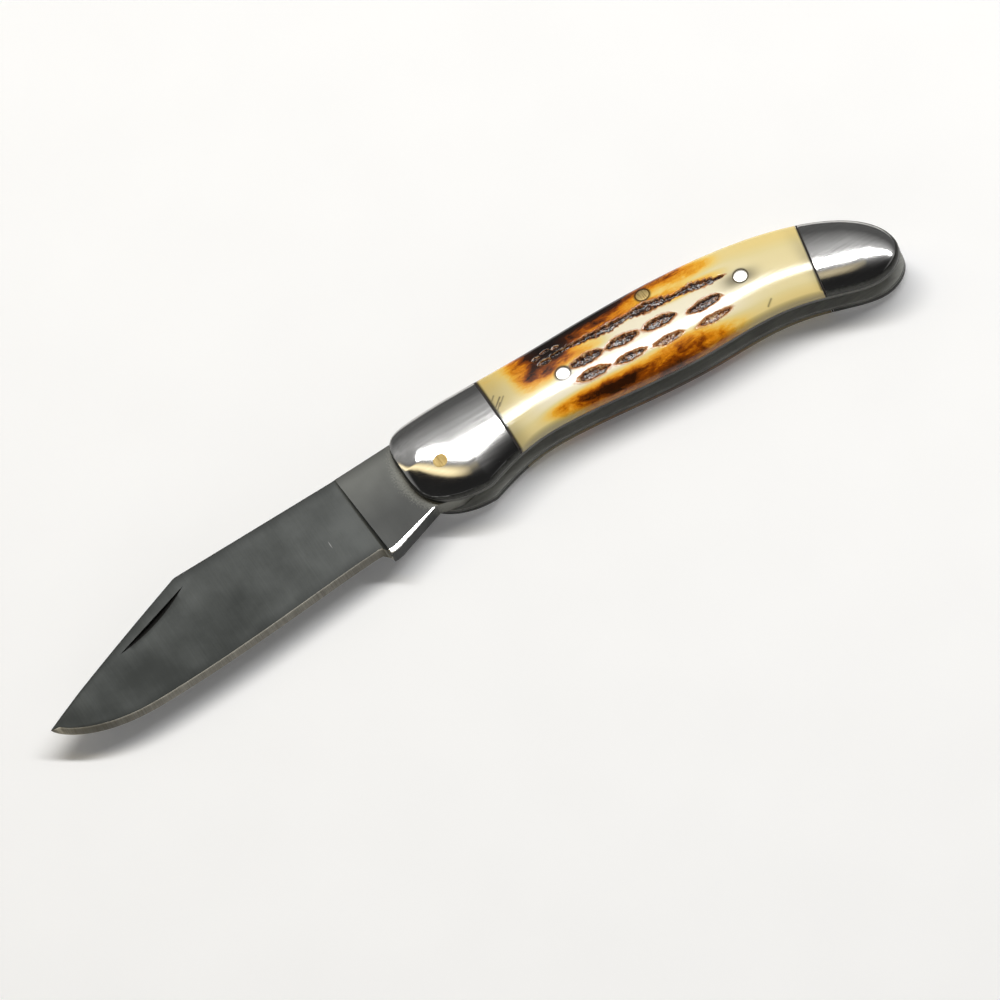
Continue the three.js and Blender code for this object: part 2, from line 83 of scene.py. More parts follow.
def eased_curve(x: Array, x0: float, y0: float, x1: float, y1: float, ease: float) -> Array:
    """Height of an S-curve between two level points.

    Args:
        x: Places along the curve.
        x0, y0: First level point.
        x1, y1: Second level point.
        ease: Power that draws the curve towards one of the two.

    Returns:
        Heights, one for each place.
    """
    share = np.clip((np.asarray(x, float) - x0) / (x1 - x0), 0, 1) ** ease
    return y0 + (y1 - y0) * share * share * (3 - 2 * share)


def even_points(points: Array, count: int) -> Array:
    """Points at even steps along a chain, its two ends included.

    Args:
        points: Dense chain of points.
        count: How many points to return.

    Returns:
        The points, one row each.
    """
    run = np.concatenate([[0], np.cumsum(np.linalg.norm(np.diff(points, axis=0), axis=1))])
    stops = np.linspace(0, run[-1], count)
    return np.stack([np.interp(stops, run, column) for column in points.T], axis=1)


def turned(point: Sequence[float], degrees: float) -> Array:
    """A point of the blade's plane turned round the pivot by an angle in degrees.

    Args:
        point: The point.
        degrees: The angle.

    Returns:
        Where it comes.
    """
    angle = math.radians(degrees)
    x, y = point
    return np.array([x * math.cos(angle) - y * math.sin(angle),
                     x * math.sin(angle) + y * math.cos(angle)])


@dataclass(frozen=True)
class Stack:
    """Thicknesses of the knife's layers, from the middle of the blade outwards."""

    blade_half: float = 1.7
    slot_half: float = 1.8
    liner_outer: float = 2.6
    cover_base: float = 2.65
    cover_rim: float = 3.15
    crown: float = 2.6
    roundness: float = 2.4
    break_edge: float = 0.06
    # Half the handle's height, as the even steps and as the broken edge reckon it
    half_height: float = 10.0
    rim_reach: float = 14.0

    def crown_height(self, share: Array) -> Array:
        """Height of a cover at a share of the way from its ridge (0) to its rim (1)."""
        left = np.clip(1 - np.abs(share) ** self.roundness, 0, 1)
        return self.cover_rim + self.crown * left ** (1 / self.roundness)

    def half_profile(self, count: int, even: bool = False) -> Array:
        """Crown from the ridge down over the rim and the wall to the glue line.

        Args:
            count: Points on the crown itself.
            even: Whether they keep even steps along it, as carving needs.

        Returns:
            Rows of a share of the way to the rim and a height.
        """
        angle = np.linspace(0, math.pi / 2, 900 if even else count)
        share = np.sin(angle) ** (2 / self.roundness)
        crown = np.stack([share, self.crown_height(share)], axis=1)
        crown[-1] = 1, self.cover_rim
        if even:
            crown = even_points(crown * [self.half_height, 1], count) / [self.half_height, 1]
        wall = [(1, self.cover_base + self.break_edge),
                (1 - self.break_edge / self.rim_reach, self.cover_base)]
        return np.vstack([crown, wall])

    def full_profile(self, count: int, even: bool = False) -> Array:
        """The same from the spine's glue line over the ridge to the belly's, which is negative."""
        half = self.half_profile(count, even)
        return np.vstack([half[::-1], (half * [-1, 1])[1:]])


@dataclass(frozen=True)
class HandleOutline:
    """Side view of the handle, with the ridge that its crowned covers fall away from."""

    nose: float = -7.65
    nose_height: float = 3.0
    butt: float = 100.8
    butt_height: float = -10.0
    spine_level: float = 12.2
    hump_level: float = 12.85
    bulge: tuple[float, float] = (6.0, -9.3)
    waist: tuple[float, float] = (22.0, -6.0)
    swell: tuple[float, float] = (60.0, -9.5)
    heel: tuple[float, float] = (93.8, -15.7)
    spine_turn: float = 30.0
    front_ridge: float = 4.2
    level_ridge: float = 12.0
    rear_ridge: float = 93.3

    def spine(self, x: Array) -> Array:
        """Height of the spine at places along the handle.

        Args:
            x: Places.

        Returns:
            Heights.
        """
        x = np.asarray(x, float)
        top = (self.bulge[0], self.hump_level)
        turn = (self.spine_turn, self.spine_level)
        front = quarter_arc(x, *top, self.nose, self.nose_height, 6.5, 0.3)
        hump = eased_curve(x, *top, *turn, 0.8)
        fall = quarter_arc(x, *turn, self.butt, self.butt_height, 2.7, 0.53)
        return np.where(x < top[0], front, np.where(x < turn[0], hump, fall))

    def belly(self, x: Array) -> Array:
        """Height of the belly at places along the handle.

        Args:
            x: Places.

        Returns:
            Heights.
        """
        x = np.asarray(x, float)
        chin = quarter_arc(x, *self.bulge, self.nose, self.nose_height, 2, 0.36)
        waist = eased_curve(x, *self.bulge, *self.waist, 0.62)
        swell = eased_curve(x, *self.waist, *self.swell, 0.9)
        heel = eased_curve(x, *self.swell, *self.heel, 1.8)
        toe = quarter_arc(x, *self.heel, self.butt, self.butt_height, 2, 0.5)
        return np.select(
            [x < self.bulge[0], x < self.waist[0], x < self.swell[0], x < self.heel[0]],
            [chin, waist, swell, heel], toe)

    def middle(self, x: Array) -> Array:
        """Height half-way between the belly and the spine."""
        return (self.spine(x) + self.belly(x)) / 2

    def ridge(self, x: Array) -> Array:
        """Height of the covers' ridge, which stays level over the front bolster."""
        return self.middle(np.maximum(x, self.level_ridge))

    def across(self, x: Array, share: Array) -> Array:
        """Height at a share of the way from the ridge to the spine, or below it to the belly.

        Args:
            x: Places along the handle.
            share: Shares, negative below.

        Returns:
            Heights.
        """
        ridge = self.ridge(x)
        rim = np.where(share > 0, self.spine(x), self.belly(x))
        return ridge + np.abs(share) * (rim - ridge)

    def share_of(self, x: Array, y: Array) -> Array:
        """Share of the way from the ridge to the rim at points of the side view.

        Args:
            x, y: The points.

        Returns:
            Shares, negative below the ridge.
        """
        ridge = self.ridge(x)
        rim = np.where(y > ridge, self.spine(x), self.belly(x))
        return (y - ridge) / np.abs(rim - ridge)

    def chain(self, start: float, end: float, upper: bool) -> Array:
        """Dense points of the spine or the belly between two places along the handle.

        Args:
            start, end: The two places, either way round.
            upper: Whether it is the spine.

        Returns:
            The points, in order.
        """
        bend = np.sin(np.linspace(0, math.pi / 2, 500))
        places = np.concatenate([
            np.linspace(start, end, 900),
            *[a + (b - a) * bend ** power
              for a, b in ((self.bulge[0], self.nose), (self.spine_turn, self.butt),
                           (self.heel[0], self.butt)) for power in (0.15, 0.4, 1)]])
        places = np.unique(places[(places >= min(start, end)) & (places <= max(start, end))])
        if start > end:
            places = places[::-1]
        return np.stack([places, (self.spine if upper else self.belly)(places)], axis=1)

    def nose_chain(self, count: int) -> Array:
        """Even points from the spine round the nose to the belly, ahead of the ridge."""
        return even_points(np.vstack([self.chain(self.front_ridge, self.nose, True),
                                      self.chain(self.nose, self.front_ridge, False)[1:]]), count)

    def butt_chain(self, count: int) -> Array:
        """Even points from the spine round the butt to the belly, behind the ridge."""
        return even_points(np.vstack([self.chain(self.rear_ridge, self.butt, True),
                                      self.chain(self.butt, self.rear_ridge, False)[1:]]), count)

    def whole(self, count: int) -> Array:
        """Even points all the way round, from the nose along the belly and back.

        Args:
            count: How many.

        Returns:
            The points, one row each.
        """
        loop = np.vstack([self.chain(self.nose, self.butt, False),
                          self.chain(self.butt, self.nose, True)[1:]])
        return even_points(loop, count + 1)[:-1]


STACK = Stack()
OUTLINE = HandleOutline()


class Side(Enum):
    """Faces of the knife: the mark side is up in the photograph, the pile side lies down."""

    MARK = 1
    PILE = -1

    @property
    def word(self) -> str:
        """The side's name as the pieces use it."""
        return self.name.lower()


# ---------------------------------------------------------------------------- mesh work


class Shell:
    """A mesh put together from sheets and caps, in millimetres, and welded when it is done."""

    def __init__(self) -> None:
        """Starts an empty shell."""
        self.points: list[Array] = []
        self.faces: list[tuple[int, ...]] = []
        self.slots: list[int] = []
        self.count = 0

    def _add(self, points: Array) -> int:
        """Keeps points and returns the index of the first.

        Args:
            points: Rows of three numbers, in any shape.

        Returns:
            The first one's index.
        """
        first = self.count
        self.points.append(np.asarray(points, float).reshape(-1, 3))
        self.count += len(self.points[-1])
        return first

    def sheet(self, grid: Array, closed: bool = False, slots: Array | None = None) -> None:
        """Adds a sheet of quads.

        Args:
            grid: Points in rows and columns.
            closed: Whether the last column joins the first.
            slots: Material slot of each quad, by row and column.
        """
        rows, columns = grid.shape[:2]
        first = self._add(grid)
        width = columns if closed else columns - 1
        for i in range(rows - 1):
            for j in range(width):
                k = (j + 1) % columns
                a, b = first + i * columns, first + (i + 1) * columns
                self.faces.append((a + j, a + k, b + k, b + j))
                self.slots.append(0 if slots is None else int(slots[i, j]))

    def cap(self, ring: Array, slot: int = 0) -> None:
        """Closes a flat ring of points with one face.

        Args:
            ring: The points, in order.
            slot: Its material slot.
        """
        first = self._add(ring)
        self.faces.append(tuple(range(first, first + len(ring))))
        self.slots.append(slot)

    def mesh(self, name: str) -> Mesh:
        """Welds the shell and turns its faces outwards.

        Args:
            name: Name of the mesh.

        Returns:
            A closed mesh in metres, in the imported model's frame.
        """
        points = np.vstack(self.points)
        # Points that round to the same place, a fifth of a micrometre, are one
        _, kept, welded = np.unique(np.round(points * 5000), axis=0, return_index=True,
                                    return_inverse=True)
        welded = welded.ravel()
        faces, slots = [], []
        for face, slot in zip(self.faces, self.slots):
            ring = [int(welded[i]) for i in face]
            ring = [a for a, b in zip(ring, ring[1:] + ring[:1]) if a != b]
            if len(set(ring)) > 2:
                faces.append(ring)
                slots.append(slot)
        made = bpy.data.meshes.new(name)
        made.from_pydata((points[kept] * MM + PIVOT).tolist(), [], faces)
        made.polygons.foreach_set("material_index", slots)
        work = bmesh.new()
        work.from_mesh(made)
        bmesh.ops.recalc_face_normals(work, faces=work.faces)
        open_edges = sum(1 for edge in work.edges if len(edge.link_faces) != 2)
        work.to_mesh(made)
        work.free()
        log.info("%s: %d faces, %d open edges", name, len(faces), open_edges)
        return made


def linked(name: str, data: ID) -> Object:
    """A new object for a mesh, a lamp or a camera, in the scene's own collection.

    Args:
        name: The object's name.
        data: Its mesh, lamp or camera.

    Returns:
        The object.
    """
    made = bpy.data.objects.new(name, data)
    bpy.context.scene.collection.objects.link(made)
    return made


def discard(*objects: Object) -> None:
    """Deletes helper objects."""
    for item in objects:
        bpy.data.objects.remove(item, do_unlink=True)


def evaluated_mesh(item: Object) -> Mesh:
    """The object's mesh with its modifiers worked out, as plain data."""
    graph = bpy.context.evaluated_depsgraph_get()
    return bpy.data.meshes.new_from_object(item.evaluated_get(graph), depsgraph=graph)


def smooth(mesh: Mesh, degrees: float) -> None:
    """Shades a mesh smooth, with its edges sharp above an angle."""
    mesh.shade_smooth()
    mesh.set_sharp_from_angle(angle=math.radians(degrees))


def handed(mesh: Mesh, name: str, side: Side) -> Mesh:
    """A copy of a mark-side mesh for either side, with its faces outwards.

    Args:
        mesh: The mark-side mesh.
        name: The copy's name.
        side: The side it is for.

    Returns:
        The copy, mirrored for the pile side.
    """
    copy = mesh.copy()
    copy.name = name
    if side is Side.PILE:
        points = np.empty(len(copy.vertices) * 3)
        copy.vertices.foreach_get("co", points)
        points[2::3] = 2 * PIVOT[2] - points[2::3]
        copy.vertices.foreach_set("co", points)
        copy.flip_normals()
        copy.update()
    return copy


def design_points(mesh: Mesh) -> Array:
    """A mesh's points back in millimetres round the pivot.

    Args:
        mesh: A mesh in metres.

    Returns:
        One row for each point.
    """
    points = np.empty(len(mesh.vertices) * 3)
    mesh.vertices.foreach_get("co", points)
    return (points.reshape(-1, 3) - PIVOT) / MM


def store(mesh: Mesh, name: str, values: Any) -> None:
    """Stores one number for each point of a mesh."""
    data = mesh.attributes.new(name, "FLOAT", "POINT").data
    data.foreach_set("value", np.asarray(values, np.float32))


def tube(rings: Sequence[Array], name: str, slots: Array | None = None) -> Mesh:
    """A body with a skin over rings of points and a flat cap at each end.

    Args:
        rings: Rings of as many points each.
        name: Name of the mesh.
        slots: Material slot of each quad, by ring and point.

    Returns:
        The closed mesh.
    """
    shell = Shell()
    shell.sheet(np.stack(rings), closed=True, slots=slots)
    shell.cap(rings[0])
    shell.cap(rings[-1])
    return shell.mesh(name)


def place(name: str, mesh: Mesh, materials: Sequence[Material], body: str,
          slot: str, *nodes: str) -> Object:
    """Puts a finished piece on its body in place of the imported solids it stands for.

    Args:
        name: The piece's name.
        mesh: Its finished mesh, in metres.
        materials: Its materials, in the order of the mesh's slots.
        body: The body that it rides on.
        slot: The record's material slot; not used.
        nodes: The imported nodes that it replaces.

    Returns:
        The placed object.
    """
    piece = linked(name, mesh)
    # Clearing the list would set every face back to the first slot
    while len(mesh.materials) < len(materials):
        mesh.materials.append(None)
    for index, material in enumerate(materials):
        mesh.materials[index] = material
    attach(piece, body)
    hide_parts(*nodes)
    log.info("placed %s on %s: %d faces", name, body, len(mesh.polygons))
    return piece


def eased_plate(outline: Array, low: float, high: float, ease: float, name: str) -> Mesh:
    """A plate with small eased edges.

    Args:
        outline: Closed outline, counter-clockwise.
        low, high: Heights of its faces.
        ease: Size of the eased edge.
        name: Name of the mesh.

    Returns:
        The closed mesh.
    """
    ahead = np.roll(outline, -1, axis=0) - outline
    ahead /= np.linalg.norm(ahead, axis=1, keepdims=True)
    behind = np.roll(ahead, 1, axis=0)
    inward = np.stack([-(ahead + behind)[:, 1], (ahead + behind)[:, 0]], axis=1)
    inward /= np.linalg.norm(inward, axis=1, keepdims=True)
    # A sharp corner's ring moves in further, by no more than double
    corner = np.sum(inward * np.stack([-ahead[:, 1], ahead[:, 0]], axis=1), axis=1)
    inward /= np.maximum(corner, 0.5)[:, None]
    steps = [(ease * (1 - math.cos(angle)), ease * (1 - math.sin(angle)))
             for angle in (math.pi / 2, math.pi / 4, 0.0)]
    levels = [(inset, low + drop) for inset, drop in steps]
    levels += [(inset, high - drop) for inset, drop in reversed(steps)]
    grid = np.stack([np.column_stack([outline + inward * inset, np.full(len(outline), level)])
                     for inset, level in levels])
    made = tube(grid, name)
    smooth(made, 50)
    return made


# ---------------------------------------------------------------------------- finishes


# Kinds of node that come up often
MATH, VECTOR_MATH, SPLIT = "ShaderNodeMath", "ShaderNodeVectorMath", "ShaderNodeSeparateXYZ"
COORDINATES, MAPPING, ATTRIBUTE = "ShaderNodeTexCoord", "ShaderNodeMapping", "ShaderNodeAttribute"
NOISE, RAMP, MIX = "ShaderNodeTexNoise", "ShaderNodeValToRGB", "ShaderNodeMix"
RANGE, BUMP = "ShaderNodeMapRange", "ShaderNodeBump"
SWITCH, SAMPLE = "GeometryNodeSwitch", "GeometryNodeSampleIndex"


def linear(colour: str) -> tuple[float, float, float, float]:
    """An sRGB hex colour as linear light with full opacity."""
    parts = [int(colour.lstrip("#")[i:i + 2], 16) / 255 for i in (0, 2, 4)]
    return (*[c / 12.92 if c <= 0.04045 else ((c + 0.055) / 1.055) ** 2.4 for c in parts], 1.0)


def feed(node: Node, inputs: dict[Any, Any] | Sequence[Any]) -> None:
    """Sets or links a node's inputs.

    Args:
        node: The node.
        inputs: Values, sockets, or nodes that stand for the output they have in use, by input
            name or number, or else in order.
    """
    for key, value in inputs.items() if isinstance(inputs, dict) else enumerate(inputs):
        if isinstance(value, Node):
            value = next(output for output in value.outputs if output.enabled)
        if isinstance(value, NodeSocket):
            node.id_data.links.new(value, node.inputs[key])
        else:
            node.inputs[key].default_value = value


def add(tree: NodeTree, kind: str, inputs: dict[Any, Any] | Sequence[Any] = (),
        **settings: Any) -> Node:
    """Adds a node with its settings and links.

    Args:
        tree: The tree that it joins.
        kind: The node's type.
        inputs: What goes into it, as feed takes it.
        settings: The node's own properties.

    Returns:
        The new node.
    """
    node = tree.nodes.new(kind)
    for key, value in settings.items():
        setattr(node, key, value)
    feed(node, inputs)
    return node


def set_ramp(node: Node, stops: Sequence[tuple[float, Any]]) -> None:
    """Gives a colour ramp its stops.

    Args:
        node: The ramp.
        stops: For each a place from 0 to 1, and a hex colour or a level of grey.
    """
    ramp = node.color_ramp
    while len(ramp.elements) < len(stops):
        ramp.elements.new(0.5)
    for element, (position, colour) in zip(ramp.elements, stops):
        element.position = position
        element.color = linear(colour) if isinstance(colour, str) else (colour, colour, colour, 1)


def begin(name: str) -> tuple[Material, NodeTree, Node]:
    """A new material, its empty tree and its shader node, linked to the output.

    Args:
        name: The material's name.

    Returns:
        The material, its tree and the shader.
    """
    material = bpy.data.materials.new(name)
    material.use_nodes = True
    tree = material.node_tree
    tree.nodes.clear()
    shader = add(tree, "ShaderNodeBsdfPrincipled")
    add(tree, "ShaderNodeOutputMaterial", {"Surface": shader})
    return material, tree, shader


def spaces(tree: NodeTree) -> tuple[NodeSocket, Node]:
    """Object coordinates, and the same in millimetres round the pivot.

    Args:
        tree: A material's tree.

    Returns:
        The two, as values for a node's input.
    """
    where = add(tree, COORDINATES).outputs["Object"]
    design = add(tree, MAPPING, {
        "Vector": where, "Location": list(-PIVOT / MM), "Scale": (1 / MM, 1 / MM, 1 / MM)})
    return where, design


def new_group(name: str, inputs: dict[str, str], output: str
              ) -> tuple[NodeTree, Node, dict[str, str]]:
    """An empty geometry tree with named inputs.

    Args:
        name: The tree's name.
        inputs: Kind of each input, by its name.
        output: Name of the geometry that it gives.

    Returns:
        The tree, its input node, and the identifiers of its inputs by name.
    """
    tree = bpy.data.node_groups.new(name, "GeometryNodeTree")
    sockets = {}
    for key, kind in inputs.items():
        sockets[key] = tree.interface.new_socket(
            key, in_out="INPUT", socket_type=f"NodeSocket{kind}").identifier
    tree.interface.new_socket(output, in_out="OUTPUT", socket_type="NodeSocketGeometry")
    return tree, add(tree, "NodeGroupInput"), sockets


def end_group(tree: NodeTree, geometry: Node, material: Any) -> None:
    """Ends a geometry tree in real faces of one material.

    Args:
        tree: The tree.
        geometry: The last node that shapes it.
        material: A material, or a socket that brings one.
    """
    real = add(tree, "GeometryNodeRealizeInstances", {"Geometry": geometry})
    dressed = add(tree, "GeometryNodeSetMaterial", {"Geometry": real, "Material": material})
    add(tree, "NodeGroupOutput", (dressed,))


def grown(mesh: Mesh, tree: NodeTree, sockets: dict[str, str], values: dict[str, Any]) -> Mesh:
    """Runs a geometry tree over a mesh.

    Args:
        mesh: The mesh that goes in.
        tree: The tree.
        sockets: Identifiers of the tree's inputs by name.
        values: Values of the inputs by name.

    Returns:
        The result as a plain mesh.
    """
    work = linked("tree_work", mesh)
    modifier = work.modifiers.new(tree.name, "NODES")
    modifier.node_group = tree
    for name, value in values.items():
        modifier[sockets[name]] = value
    made = evaluated_mesh(work)
    discard(work)
    return made


@dataclass(frozen=True)
class BrushedSteel:
    """Stainless steel whose finish is all lines in one direction.

    The lines take the mirror out of it: highlights smear across them and the surface
    breaks into fine light and dark streaks.
    """

    name: str
    colour: str
    shade: str
    roughness: float
    spread: float
    line: tuple[float, float, float]
    bump: float
    cloud: float = 0.12
    metallic: float = 1.0

    def material(self) -> Material:
        """Builds the material.

        Returns:
            Brushed steel with streaks whose spacing in millimetres is the finish's own.
        """
        material, tree, shader = begin(self.name)
        where = add(tree, COORDINATES).outputs["Object"]
        # One unit of a noise is about one streak, so the mapping turns metres into streaks
        lines = add(tree, MAPPING, {"Vector": where, "Scale": [1000 / size for size in self.line]})
        streaks = add(tree, NOISE, {"Vector": lines, "Scale": 1.0, "Detail": 3.0, "Roughness": 0.6})
        clouds = add(tree, NOISE, {"Vector": where, "Scale": self.cloud * 1000, "Detail": 4.0})
        blend = add(tree, MATH, (streaks, clouds), operation="MULTIPLY")
        tone = add(tree, RAMP, (blend,))
        set_ramp(tone, [(0.12, self.shade), (0.38, self.colour)])
        gloss = add(tree, RANGE, (streaks, 0.3, 0.7, self.roughness - self.spread,
                                  self.roughness + self.spread))
        relief = add(tree, BUMP, {"Height": streaks, "Strength": self.bump, "Distance": 0.00002})
        feed(shader, {
            "Base Color": tone, "Roughness": gloss, "Normal": relief, "Metallic": self.metallic})
        return material


@dataclass(frozen=True)
class BladeSteel:
    """Satin-ground stainless blade steel, dark because it mirrors little of the light.

    Fine grinding runs across the blade, with a few light scratches over it; the flat by the
    handle is a shade lighter, and is painted lighter still towards the spine as a painted sheen,
    with a frosted rim where the wheel couldn't reach.
    """

    name: str = "satin_ground_stainless_steel"
    ground: str = "#373938"
    worn: str = "#4d4f4e"
    flat: str = "#4a4b4a"
    flat_top: str = "#61625f"
    frost: str = "#81817b"
    grind_mm: tuple[float, float, float] = (0.3, 9.0, 9.0)
    plunge: float = -18.75
    lean: float = 0.058
    roughness: float = 0.56

    def material(self) -> Material:
        """Builds the material.

        Returns:
            Blade steel with cloudy tone, cross grinding and scattered light scratches.
        """
        material, tree, shader = begin(self.name)
        where, design = spaces(tree)
        split = add(tree, SPLIT, (design,))
        lines = add(tree, MAPPING, {
            "Vector": where, "Scale": [1000 / size for size in self.grind_mm]})
        grinding = add(tree, NOISE, {
            "Vector": lines, "Scale": 1.0, "Detail": 3.0, "Roughness": 0.65})
        # Clouds some 9 mm across, as handling and oil leave them
        clouds = add(tree, NOISE, {
            "Vector": design, "Scale": 0.11, "Detail": 5.0, "Roughness": 0.55})
        grain = add(tree, NOISE, {"Vector": design, "Scale": 3.0, "Detail": 2.0})
        mixed = add(tree, MATH, (grinding, 0.3, clouds), operation="MULTIPLY_ADD")
        # Painted sheen: the ground face is painted lighter towards the handle and towards the spine
        rear = add(tree, RANGE, (split.outputs[0], -54.0, -24.0, 0.0, 0.5))
        high = add(tree, RANGE, (split.outputs[1], -3.0, 11.0, 0.0, 0.42))
        painted_sweep_sheen = add(tree, MATH, (rear, high), operation="MAXIMUM")
        graded = add(tree, MATH, (mixed, 0.55, painted_sweep_sheen), operation="MULTIPLY_ADD")
        # The lighter stop comes where the painted sheen and the clouds are strongest
        tone = add(tree, RAMP, (graded,))
        set_ramp(tone, [(0.3, self.ground), (0.9, self.worn)])
        leaning = add(tree, MATH, (split.outputs[1], self.lean, split.outputs[0]),
                      operation="MULTIPLY_ADD")
        on_flat = add(tree, RANGE, (leaning, self.plunge - 0.1, self.plunge + 0.1))
        # Painted sheen: the flat is painted lighter towards the spine
        climb = add(tree, RANGE, (split.outputs[1], -2.0, 11.0))
        painted_flat_sheen = add(tree, MIX, {
            0: climb, 6: linear(self.flat), 7: linear(self.flat_top)}, data_type="RGBA")
        flat = add(tree, MIX, {0: on_flat, 6: tone, 7: painted_flat_sheen}, data_type="RGBA")
        # The bolster's nose is close to an arc of 13.4 mm round (6, 2.5)
        reach = add(tree, VECTOR_MATH, (design, (6.0, 2.5, 1.7)), operation="DISTANCE")
        ragged = add(tree, MATH, (grain, 4.0, reach), operation="MULTIPLY_ADD")
        rim = add(tree, RANGE, (ragged, 18.0, 15.6, 0.0, 1.0))
        frosted = add(tree, MIX, {0: rim, 6: flat, 7: linear(self.frost)}, data_type="RGBA")
        # Light scratches some 2 mm long: stretched cells, the few whose random value is highest
        slanted = add(tree, MAPPING, {
            "Vector": design, "Rotation": (0, 0, math.radians(-24)), "Scale": (0.4, 0.045, 0.045)})
        cells = add(tree, "ShaderNodeTexVoronoi", {"Vector": slanted, "Scale": 1.0})
        chosen = add(tree, "ShaderNodeSeparateColor", (cells.outputs["Color"],))
        lucky = add(tree, MATH, (chosen.outputs[0], 0.7), operation="GREATER_THAN")
        near = add(tree, RANGE, (cells.outputs["Distance"], 0.055, 0.02, 0.0, 0.5))
        scratch = add(tree, MATH, (lucky, near), operation="MULTIPLY")
        flecked = add(tree, MIX, {0: scratch, 6: frosted, 7: linear("#a9aaa8")}, data_type="RGBA")
        gloss = add(tree, RANGE, (mixed, 0.4, 0.9, self.roughness + 0.03, self.roughness - 0.05))
        frosty = add(tree, MATH, (rim, 0.08, gloss), operation="MULTIPLY_ADD")
        relief = add(tree, BUMP, {"Height": grinding, "Strength": 0.25, "Distance": 0.00002})
        feed(shader, {
            "Base Color": flecked, "Roughness": frosty, "Normal": relief, "Metallic": 1.0})
        return material


@dataclass(frozen=True)
class BurntBone:
    """Cattle bone, jigged, flame-burnt, dyed amber and buffed to a shine.

    Cream at both ends, darkened a little there and along the rims as painted shade so that the
    crest is palest as a painted sheen, it goes through honey and brown to black where the flame
    touched it. The dye sits in the grooves.
    """

    name: str = "burnt_amber_bone"
    tones: tuple[tuple[float, str], ...] = (
        (0.0, "#f8efd3"), (0.07, "#ecdb9f"), (0.15, "#f6d374"), (0.27, "#f3b236"),
        (0.45, "#dc8510"), (0.61, "#934704"), (0.78, "#351603"), (1.0, "#0e0704"))
    groove: str = "#1c0d06"
    groove_worn: str = "#875024"
    groove_rim: str = "#b5640f"
    # Dark olive for dirt, and for the painted shade along the belly's rim
    residue: str = "#30281a"
    pore_mm: tuple[float, float, float] = (3.5, 0.5, 0.5)

    def material(self) -> Material:
        """Builds the material.

        Returns:
            Bone that reads its burn and its grooves from the piece's own attributes.
        """
        material, tree, shader = begin(self.name)
        where, design = spaces(tree)
        burn = add(tree, ATTRIBUTE, attribute_name="burn").outputs["Fac"]
        groove = add(tree, ATTRIBUTE, attribute_name="groove").outputs["Fac"]
        # Soft flame tongues some 3 mm long and a ragged grain of about half a millimetre
        tongue = add(tree, MAPPING, {"Vector": design, "Scale": (0.3, 0.6, 0.6)})
        flame = add(tree, NOISE, {
            "Vector": tongue, "Scale": 1.0, "Detail": 5.0, "Roughness": 0.6, "Distortion": 0.6})
        fine = add(tree, MAPPING, {"Vector": design, "Scale": (0.9, 2.0, 2.0)})
        grain = add(tree, NOISE, {"Vector": fine, "Scale": 1.0, "Detail": 4.0, "Roughness": 0.7})
        # Noise moves the burn most where it is neither bare nor black
        rest = add(tree, MATH, (1.0, burn), operation="SUBTRACT")
        begun = add(tree, RANGE, (burn, 0.1, 0.6, 0.0, 0.6))
        edge = add(tree, MATH, (begun, rest), operation="MULTIPLY")
        swing = add(tree, MATH, (flame, -0.5), operation="ADD")
        ruffle = add(tree, MATH, (grain, -0.5), operation="ADD")
        both = add(tree, MATH, (ruffle, 0.42, swing), operation="MULTIPLY_ADD")
        push = add(tree, MATH, (both, edge), operation="MULTIPLY")
        burnt_and_shaded = add(tree, MATH, (push, 3.4, burn), operation="MULTIPLY_ADD")
        tone = add(tree, RAMP, (burnt_and_shaded,))
        set_ramp(tone, self.tones)
        # Cloudy cream and thin darker pores along the bone
        pores = add(tree, MAPPING, {
            "Vector": where, "Scale": [1000 / size for size in self.pore_mm]})
        pore = add(tree, NOISE, {"Vector": pores, "Scale": 1.0, "Detail": 3.0})
        cloud = add(tree, NOISE, {"Vector": design, "Scale": 0.16, "Detail": 3.0})
        veil = add(tree, MATH, (pore, cloud), operation="ADD")
        age = add(tree, RAMP, (veil,))
        set_ramp(age, [(0.34, "#d8cfb0"), (0.62, "#ffffff")])
        aged = add(tree, MIX, {0: 0.6, 6: tone, 7: age}, data_type="RGBA", blend_type="MULTIPLY")
        halo = add(tree, RANGE, (groove, 0.0, 0.5))
        rimmed = add(tree, MIX, {
            0: halo, 6: aged, 7: linear(self.groove_rim)}, data_type="RGBA", blend_type="DARKEN")
        # Inside a groove the dye lies thick, and the torn ridges are worn paler; the ramp's palest
        # stop paints glints on them, a painted highlight
        tear = add(tree, NOISE, {"Vector": design, "Scale": 1.5, "Detail": 4.0, "Roughness": 0.65})
        # A shallow scoop, and the slope of a deep one, are worn more than its floor
        bare = add(tree, MATH, (1.0, groove), operation="SUBTRACT")
        worn = add(tree, MATH, (bare, 0.5, tear), operation="MULTIPLY_ADD")
        depth = add(tree, RAMP, (worn,))
        set_ramp(depth, [(0.44, self.groove), (0.54, "#42220f"), (0.65, self.groove_worn),
                         (0.78, "#d8b98a")])
        deep = add(tree, RANGE, (groove, 0.48, 0.62))
        sunk = add(tree, MIX, {0: deep, 6: rimmed, 7: depth}, data_type="RGBA")
        # Dirt, smudges and pin rings, and painted shade along the belly's rim, darken the bone
        grime = add(tree, ATTRIBUTE, attribute_name="grime").outputs["Fac"]
        soiled_and_shaded = add(tree, MIX, {0: grime, 6: sunk, 7: linear(self.residue)}, data_type="RGBA")
        gloss = add(tree, RANGE, (groove, 0.45, 0.7, 0.11, 0.17))
        torn = add(tree, MATH, (tear, deep), operation="MULTIPLY")
        surface = add(tree, MATH, (torn, 3.0, pore), operation="MULTIPLY_ADD")
        relief = add(tree, BUMP, {"Height": surface, "Strength": 0.16, "Distance": 0.00006})
        feed(shader, {"Base Color": soiled_and_shaded, "Roughness": gloss, "Normal": relief, "IOR": 1.55})
        return material


